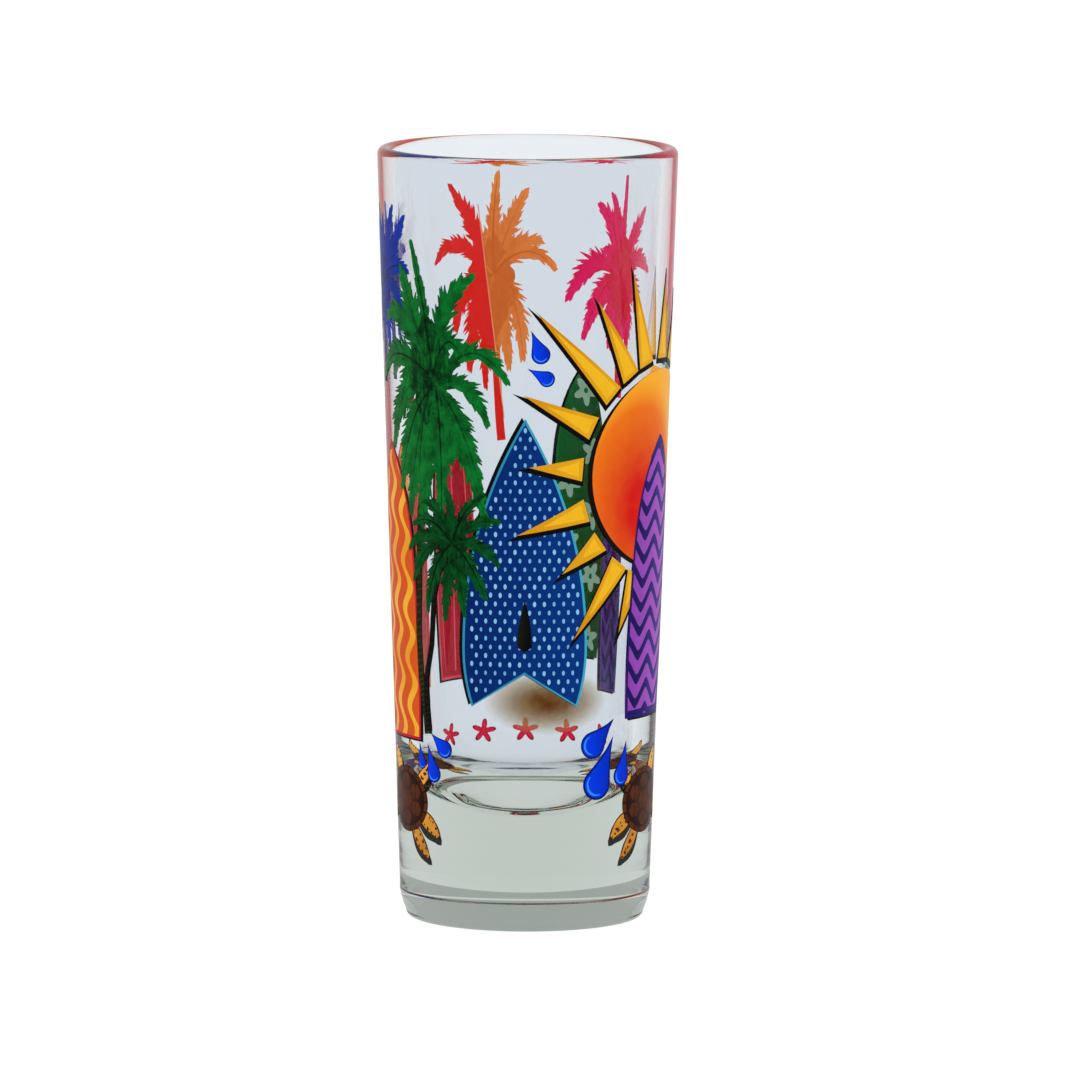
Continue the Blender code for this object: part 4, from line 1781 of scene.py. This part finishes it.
@dataclass
class Starfish(Motif):
    """A small five-armed starfish with a row of dots down each arm.

    Attributes:
        radius: How far its arms reach.
        tilt: How far it is turned to the left, in degrees.
    """

    radius: float = 2.1 * MM
    tilt: float = 0.0

    def _outline(self, size: float) -> list[Point]:
        """The starfish's outline.

        Args:
            size: The share of its size.

        Returns:
            The corners.
        """
        points, corners = [], 60
        for step in range(corners):
            angle = 2 * math.pi * step / corners
            reach = self.radius * size * (0.68 + 0.32 * math.cos(5 * angle))
            points.append((reach * math.cos(angle), reach * math.sin(angle)))
        return turned(points, 90 + self.tilt)

    def draw(self, film: Film) -> None:
        """Draws the dark edge, the body and the dots.

        Args:
            film: The film to draw on.
        """
        film.shape(self._outline(1.0), CRIMSON, 0.0, 0.3)
        film.shape(self._outline(0.84), STAR, 1.0, lambda x, y: 0.5 + 0.3 * y / self.radius)
        places = [(0.0, 0.0)]
        for arm in range(5):
            places += turned([(share * self.radius, 0.0) for share in (0.26, 0.46, 0.64)],
                             90 + self.tilt + 72 * arm)
        dots = printed_motifs(places, CORAL, 0.17 * MM, 0.17 * MM, spread=0.25, corners=8, seed=3)
        film.flakes(dots, CORAL, 1.7)


@dataclass
class SandPatch(Motif):
    """The sprayed sand in the blue board's shadow: brown in its middle, and dusty out to nothing.

    Attributes:
        across: Half its width.
        up: Half its height.
    """

    across: float = 8.4 * MM
    up: float = 4.3 * MM

    def draw(self, film: Film) -> None:
        """Draws the patch."""
        film.disc(self.across, self.up, SAND, 0.0, self._cover, rings=10)

    def _cover(self, x: float, y: float) -> float:
        """How thick the sand lies: most in the upper middle, and none at the edge."""
        away = math.hypot(x / self.across, y / self.up)
        return max(1.0 - away**1.5, 0.0)


# ---------------------------------------------------------------- the studio


class Facing(Enum):
    """Which way a sheet's face points, as the order of its corners."""

    UP = (0, 1, 2, 3)
    DOWN = (3, 2, 1, 0)


@dataclass(frozen=True)
class Matt:
    """A matt paper or card with a fine fibre.

    Attributes:
        name: The material's name.
        dark: The colour in the fibre's dips.
        light: The colour on its tops.
        grain: How fine the fibre is.
        detail: How many finer layers it has.
    """

    name: str
    dark: Colour
    light: Colour
    grain: float
    detail: float


FLOOR_PAPER = Matt("floor_paper", (0.06, 0.06, 0.06), (0.08, 0.08, 0.08), 40.0, 3.0)
BLACK_CARD = Matt("black_card", (0.01, 0.01, 0.008), (0.03, 0.03, 0.02), 60.0, 2.0)


@dataclass
class Softbox:
    """One soft area light.

    Attributes:
        name: The light's name.
        place: Where it hangs.
        target: What it is turned to.
        width: How wide it is.
        height: How high it is.
        power: Its power in watts.
        tint: Its colour.
    """

    name: str
    place: Place
    target: Place
    width: float
    height: float
    power: float
    tint: Colour = (1.0, 1.0, 1.0)

    def build(self) -> bpy.types.Object:
        """Places the light, turned to its target.

        Returns:
            The light.
        """
        data = bpy.data.lights.new(self.name, "AREA")
        data.shape = "RECTANGLE"
        data.size, data.size_y = self.width, self.height
        data.energy = self.power
        data.color = self.tint
        light = new_object(self.name, data)
        light.location = self.place
        light.rotation_euler = (Vector(self.target) - Vector(self.place)).to_track_quat("-Z", "Y").to_euler()
        light.visible_camera = False
        return light


@dataclass
class Studio:
    """A pale floor, an even white surround, a black card and a few soft lights, with the camera in front.

    Attributes:
        glass_height: How high the glass is.
        sky: How bright the surround is.
        sky_in_gloss: How bright it is where it's mirrored.
        floor_half: Half the floor's width.
        floor_drop: How far the floor lies under the foot.
        floor_glow: How much light the floor gives by itself.
        flag_width: The black card's width.
        flag_height: How high the card hangs.
        camera_place: Where the camera stands.
        lens: Its focal length in millimetres.
        roll: How far it is turned round its own axis, in radians.
        shift: How far its frame is shifted, as shares of its width.
        lights: The lights.
    """

    glass_height: float
    sky: float = 1.0
    sky_in_gloss: float = 0.65
    floor_half: float = 4.0
    floor_drop: float = 0.05 * MM
    floor_glow: float = 0.96
    flag_width: float = 0.7
    flag_height: float = 0.6
    camera_place: Place = (0.0, -1.4, 0.2253)
    lens: float = 357.84
    roll: float = 0.0042
    shift: Point = (0.01278, -0.00778)
    lights: Sequence[Softbox] = field(default_factory=lambda: (
        Softbox("key_light", (-0.9, -1.5, 1.1), (0.0, 0.0, 0.05), 1.1, 1.1, 2.0),
        Softbox("fill_light", (1.2, -1.2, 0.9), (0.0, 0.0, 0.05), 0.9, 0.9, 1.0),
        Softbox("top_light", (0.0, 0.4, 1.6), (0.0, 0.0, 0.0), 1.4, 1.4, 3.0)))

    def _sheet(self, name: str, half: float, height: float, facing: Facing,
               finish: Matt) -> tuple[bpy.types.Object, bpy.types.Node]:
        """Lays a square sheet about the axis.

        Args:
            name: The sheet's name.
            half: Half its width.
            height: How high it lies.
            facing: Which way its face points.
            finish: Its finish.

        Returns:
            The sheet, and its material's shader.
        """
        mesh = bpy.data.meshes.new(name)
        corners = [(-half, -half, height), (half, -half, height), (half, half, height), (-half, half, height)]
        mesh.from_pydata(corners, [], [facing.value])
        sheet = new_object(name, mesh)
        material, make, shader = new_material(finish.name)
        fibre = make.noise(make.add("ShaderNodeTexCoord").outputs["Object"], finish.grain, finish.detail)
        colour = make.blend(fibre, rgba(finish.dark), rgba(finish.light))
        make.tree.links.new(colour, shader.inputs["Base Color"])
        shader.inputs["Roughness"].default_value = 0.9
        mesh.materials.append(material)
        return sheet, shader

    def _floor(self) -> None:
        """Lays the pale floor, a hair under the foot."""
        floor, shader = self._sheet("studio_floor", self.floor_half, -self.floor_drop, Facing.UP, FLOOR_PAPER)
        shader.inputs["Specular IOR Level"].default_value = 0.1
        shader.inputs["Emission Color"].default_value = rgba((1.0, 1.0, 1.0))
        shader.inputs["Emission Strength"].default_value = self.floor_glow
        floor.visible_glossy = False

    def _flag(self) -> None:
        """Hangs a black card overhead, which only the glass sees: it draws the dark lines of its curves."""
        flag, _ = self._sheet("studio_flag", self.flag_width / 2, self.flag_height, Facing.DOWN, BLACK_CARD)
        flag.visible_camera = False
        flag.visible_diffuse = False
        flag.visible_shadow = False

    def _surround(self) -> None:
        """Makes the white surround, dimmer where it would only be mirrored."""
        world = bpy.data.worlds.new("white_surround")
        world.use_nodes = True
        make = NodeMaker(world.node_tree)
        back = world.node_tree.nodes["Background"]
        mirrored = make.add("ShaderNodeLightPath").outputs["Is Glossy Ray"]
        strength = make.maths("MULTIPLY_ADD", mirrored, self.sky_in_gloss - self.sky, self.sky)
        back.inputs["Color"].default_value = rgba((1.0, 1.0, 1.0))
        make.tree.links.new(strength, back.inputs["Strength"])
        bpy.context.scene.world = world

    def _camera(self) -> None:
        """Sets the camera up in front, a little above the rim."""
        data = bpy.data.cameras.new("front_camera")
        data.sensor_width = 36.0
        data.lens = self.lens
        data.clip_start = 0.05
        data.shift_x, data.shift_y = self.shift
        camera = new_object("front_camera", data)
        camera.location = self.camera_place
        aim = Vector((0.0, 0.0, self.glass_height / 2)) - camera.location
        camera.rotation_mode = "QUATERNION"
        camera.rotation_quaternion = aim.to_track_quat("-Z", "Y") @ Quaternion((0.0, 0.0, 1.0), self.roll)
        bpy.context.scene.camera = camera

    def build(self) -> None:
        """Sets up the floor, the surround, the lights and the camera."""
        self._floor()
        self._flag()
        self._surround()
        self._camera()
        for light in self.lights:
            light.build()
        scene = bpy.context.scene
        scene.view_settings.view_transform = "Standard"
        scene.cycles.max_bounces = 24
        scene.cycles.glossy_bounces = 16
        scene.cycles.transmission_bounces = 24


# ---------------------------------------------------------------- the artwork


def sheet_height(up: float) -> float:
    """A height in metres, from one in millimetres over the transfer sheet's lower edge."""
    return (up + 7.0) * MM


def fan(*fronds: tuple[Point, Point, float]) -> list[Frond]:
    """Fronds that all leave the crown at its origin: the bend, the tip and the leaflets' length of each."""
    return [Frond((0.0, 0.0), *frond) for frond in fronds]


def crown(*fronds: tuple[Point, Point, Point, float]) -> list[Frond]:
    """Fronds that leave the crown at places of their own."""
    return [Frond(*frond) for frond in fronds]


def tall_palm() -> Palm:
    """The tall green palm on the left of the front, with two tiers of fronds and a skirt of old ones.

    Returns:
        The palm.
    """
    fronds = crown(
        ((0.0, -2.0), (-1.2, 7.0), (-3.5, 14.0), 1.1), ((-0.3, -2.0), (-3.6, 5.0), (-5.8, 10.4), 1.9),
        ((-0.5, -2.0), (-6.0, 6.5), (-10.0, 4.0), 2.2), ((-0.5, -3.0), (-7.5, 2.0), (-12.4, -4.0), 2.2),
        ((-0.5, -4.0), (-6.5, -3.5), (-8.8, -12.5), 2.2), ((0.2, -2.0), (1.6, 7.5), (6.2, 10.0), 2.0),
        ((0.2, -3.0), (2.5, 4.5), (4.6, -0.4), 1.9), ((0.7, -4.6), (6.3, 4.3), (10.7, -3.2), 1.7),
        ((0.7, -5.0), (5.6, -1.6), (8.0, -8.8), 1.7), ((0.5, -4.5), (-4.0, -7.0), (-6.6, -17.6), 2.3),
        ((0.5, -4.5), (-3.0, -9.0), (-4.6, -21.0), 2.3), ((0.5, -4.5), (-0.8, -11.0), (-2.2, -22.5), 2.2),
        ((0.6, -4.5), (1.6, -10.5), (1.2, -21.0), 2.0), ((0.8, -4.5), (4.5, -7.5), (6.9, -17.0), 1.9),
        ((0.8, -4.5), (5.2, -11.0), (7.7, -22.0), 1.7), ((0.0, -4.0), (-2.0, -8.0), (-2.6, -16.0), 2.2),
        ((0.0, -3.0), (-3.5, 1.0), (-6.2, -6.5), 2.2), ((0.6, -4.0), (2.8, -7.0), (3.1, -13.5), 1.9))
    trunk = ((0.0, -6.0, 1.5), (-1.6, -14.0, 1.2), (-2.7, -22.0, 1.1), (-3.1, -30.0, 1.1), (-3.4, -37.0, 1.1),
             (-3.1, -43.0, 1.1), (-2.2, -47.6, 1.2), (-1.9, -50.4, 1.4))
    return Palm("palm_green_tall", "enamel_palm_green", -41.0, 76.0 * MM, fronds, trunk, GREEN, TRUNK_BROWN,
                (3.4, 6.4), (-0.6, -2.4), layer=2, seed=2)


def short_palm() -> Palm:
    """The short dark palm in front of the tall one.

    Returns:
        The palm.
    """
    fronds = fan(
        ((-3.0, 4.4), (-6.6, 2.2), 1.2), ((-1.8, 5.2), (-4.6, 5.2), 1.2), ((0.2, 4.8), (-0.8, 7.0), 1.0),
        ((1.6, 5.0), (4.6, 6.6), 1.2), ((3.6, 4.0), (6.6, 3.2), 1.2), ((3.8, 1.6), (6.4, -2.4), 1.4),
        ((2.4, -1.0), (4.6, -6.6), 1.5), ((1.0, -3.0), (1.8, -9.0), 1.5),
        ((-0.8, -3.0), (-1.2, -9.6), 1.5), ((-2.8, -1.6), (-4.2, -8.6), 1.5),
        ((-4.6, 0.8), (-6.8, -5.0), 1.4), ((-4.2, 2.6), (-7.6, -1.0), 1.3))
    trunk = ((-0.4, -1.0, 0.9), (-2.2, -4.0, 0.8), (-3.1, -7.5, 0.8), (-3.6, -13.5, 0.8), (-4.7, -18.2, 0.9),
             (-4.6, -22.0, 1.0), (-4.4, -25.0, 1.2))
    return Palm("palm_green_short", "enamel_deep_green", -32.3, 51.0 * MM, fronds, trunk, DEEP_GREEN, BLACK,
                (2.2, 2.0), (-0.2, -0.4), layer=3, spacing=0.26 * MM, leaflet_width=0.5 * MM, seed=31)


def orange_palm() -> Palm:
    """The palm in red and orange on the back.

    Returns:
        The palm.
    """
    fronds = fan(
        ((2.8, 7.0), (6.8, 11.8), 1.8), ((1.6, 5.6), (4.2, 6.8), 1.8), ((6.0, 7.0), (9.8, 2.4), 1.6),
        ((0.2, 7.0), (-0.7, 13.2), 1.6), ((-2.0, 6.4), (-4.8, 11.0), 1.7), ((-3.0, 5.2), (-6.8, 4.4), 1.7),
        ((-4.8, 5.6), (-8.8, 1.0), 1.7), ((-3.6, -1.0), (-4.3, -10.8), 2.0),
        ((-1.2, -3.0), (-2.2, -12.0), 2.0), ((5.0, 0.5), (6.2, -6.6), 2.2),
        ((3.0, -2.0), (3.8, -12.0), 2.2), ((1.2, -3.0), (1.4, -14.4), 2.0))
    trunk = ((-0.2, -2.0, 1.6), (-0.3, -10.0, 1.3), (-0.6, -17.0, 1.2), (-1.0, -22.0, 1.3))
    return Palm("palm_orange", "enamel_orange", -165.0, 81.5 * MM, fronds, trunk, PALM_ORANGE, PALM_ORANGE,
                (3.6, 6.0), (0.4, -1.4), leaflet_width=0.7 * MM, seed=57)


def magenta_palm() -> Palm:
    """The palm in crimson and magenta on the back.

    Returns:
        The palm.
    """
    fronds = fan(
        ((0.6, 7.0), (4.2, 9.0), 1.8), ((-0.4, 7.0), (1.8, 10.4), 1.6), ((-0.8, 6.0), (-1.1, 13.2), 0.8),
        ((-3.0, 6.0), (-6.6, 9.6), 1.5), ((2.0, 4.6), (3.0, 3.0), 1.3), ((5.0, 4.4), (9.0, -3.2), 2.2),
        ((3.4, 0.0), (6.4, -8.2), 1.9), ((-4.0, 4.4), (-8.6, 2.0), 1.8), ((-4.0, 1.0), (-5.8, -6.0), 2.0),
        ((-1.6, -2.0), (-2.2, -9.4), 2.0), ((1.6, -2.0), (1.8, -9.0), 2.0))
    trunk = ((-0.2, -2.0, 2.2), (-0.5, -9.0, 1.8), (-0.6, -16.0, 1.6))
    return Palm("palm_magenta", "enamel_magenta", 134.0, 82.0 * MM, fronds, trunk, PALM_MAGENTA, PALM_MAGENTA,
                (3.0, 5.4), (-0.6, -0.6), seed=71)


def blue_palm() -> Palm:
    """The blue palm beside the tall green one.

    Returns:
        The palm.
    """
    fronds = fan(
        ((2.4, 6.0), (4.6, 10.0), 1.5), ((0.6, 5.0), (0.9, 8.6), 1.3), ((5.0, 5.0), (7.6, 9.0), 1.5),
        ((5.0, 4.0), (8.2, 2.2), 1.5), ((4.6, 1.6), (6.8, -3.4), 1.6), ((2.0, -1.0), (2.6, -7.6), 1.7),
        ((-2.0, -1.0), (-2.8, -7.4), 1.7), ((-4.6, 1.8), (-7.2, -3.2), 1.6),
        ((-4.6, 4.0), (-8.4, 2.6), 1.5), ((-3.0, 6.0), (-5.4, 8.8), 1.5), ((-0.8, 5.0), (-1.6, 9.6), 1.3))
    trunk = ((0.0, -1.0, 1.8), (0.2, -7.0, 1.4), (0.1, -13.0, 1.2))
    return Palm("palm_blue", "enamel_royal_blue", -79.0, 84.0 * MM, fronds, trunk, PALM_BLUE, PALM_BLUE,
                (2.8, 3.6), (0.4, 0.0), seed=83)


def surfboards() -> list[Surfboard]:
    """The surfboards that stand round the glass.

    Returns:
        The boards.
    """
    return [
        Surfboard("board_blue", "enamel_sea_blue", -0.5, sheet_height(22.8), 16.8 * MM, 38.0 * MM,
                  SEA_BLUE, DOT_BLUE, BoardPattern.DOTS, RIM_BLUE, 4.4 * MM, layer=1,
                  shadow=(-0.45 * MM, 0.2 * MM), fin=True, widest=0.20, tail_share=0.84, taper=2.1),
        Surfboard("board_purple", "enamel_purple", 64.0, sheet_height(20.6), 10.5 * MM, 37.0 * MM,
                  PURPLE, WAVE_NAVY, BoardPattern.ZIGZAG, WAVE_NAVY, lean=0.05, layer=4),
        Surfboard("board_orange", "enamel_orange", -68.0, sheet_height(17.6), 10.5 * MM, 39.0 * MM,
                  ORANGE, WAVE_YELLOW, BoardPattern.WAVES, CRIMSON, lean=-0.04),
        Surfboard("board_green", "enamel_leaf_green", 153.0, sheet_height(24.0), 8.8 * MM, 39.0 * MM,
                  LEAF_GREEN, FLOWER, BoardPattern.FLOWERS, GREEN),
        Surfboard("board_red_left", "enamel_crimson", -141.0, sheet_height(21.3), 8.0 * MM, 38.0 * MM,
                  CRIMSON, CORAL, BoardPattern.PINSTRIPE, CORAL),
        Surfboard("board_red_back", "enamel_crimson", -106.0, sheet_height(21.0), 8.0 * MM, 41.0 * MM,
                  CRIMSON, CORAL, BoardPattern.PINSTRIPE, CORAL),
        Surfboard("board_navy", "enamel_navy", 131.0, sheet_height(20.0), 4.6 * MM, 38.0 * MM,
                  NAVY, DUSK, BoardPattern.ZIGZAG, DUSK)]


def drops() -> list[Drop]:
    """The splashed drops.

    Returns:
        The drops.
    """
    # Each drop's turn, its height on the sheet, its bulb, its reach and its direction.
    sizes = {"drop_right_upper": (31.0, 17.6, 1.8, 4.6, 45), "drop_right_lower": (33.5, 12.4, 2.1, 6.6, 68),
             "drop_right_small": (47.5, 13.2, 1.4, 4.6, 80), "drop_left_large": (-44.5, 13.4, 1.2, 4.0, 105),
             "drop_left_small": (-52.0, 14.6, 0.8, 2.6, 100), "drop_left_upper": (-38.0, 16.8, 1.2, 3.0, 140),
             "drop_top_upper": (5.5, 69.2, 1.25, 3.4, 112), "drop_top_lower": (8.0, 66.0, 1.05, 2.9, 152)}
    return [Drop(node, "enamel_royal_blue", turn, sheet_height(up), radius * MM, reach * MM, angle, layer=1)
            for node, (turn, up, radius, reach, angle) in sizes.items()]


def shore() -> list[Motif]:
    """The sand, the two turtles and the row of starfish low on the back.

    Returns:
        The motifs.
    """
    found: list[Motif] = [
        SandPatch("sand_patch", "enamel_sand", 9.5, 30.6 * MM),
        Turtle("turtle_left", "enamel_turtle", -66.5, 16.4 * MM, 1),
        Turtle("turtle_right", "enamel_turtle", 66.5, 16.4 * MM, -1)]
    for number in range(1, 6):
        from_middle = number - 3
        found.append(Starfish(f"starfish_{number}", "enamel_crimson", 180.0 + 22.5 * from_middle, 20.3 * MM,
                              tilt=9.0 * from_middle))
    return found


def main() -> None:
    """Builds the glass, its print and the studio, and reports each piece."""
    logging.basicConfig(level=logging.INFO, format="%(message)s")
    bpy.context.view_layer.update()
    _, high = (Vector(corner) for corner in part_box("glass_body"))
    body = GlassBody(high)
    wall = body.wall()
    palms = (tall_palm(), short_palm(), orange_palm(), magenta_palm(), blue_palm())
    pieces = [body.build()]
    pieces += [motif.build(wall) for motif in (*palms, *surfboards())]
    pieces += Sun(68.0, 60.3 * MM).build(wall)
    pieces += [motif.build(wall) for motif in (*drops(), *shore())]
    Studio(high.z).build()
    total = 0
    for piece in pieces:
        piece.data.calc_loop_triangles()
        count = len(piece.data.loop_triangles)
        total += count
        log.info("%s: %d triangles", piece.name, count)
    log.info("%d pieces, %d triangles", len(pieces), total)


if __name__ == "__main__":
    main()
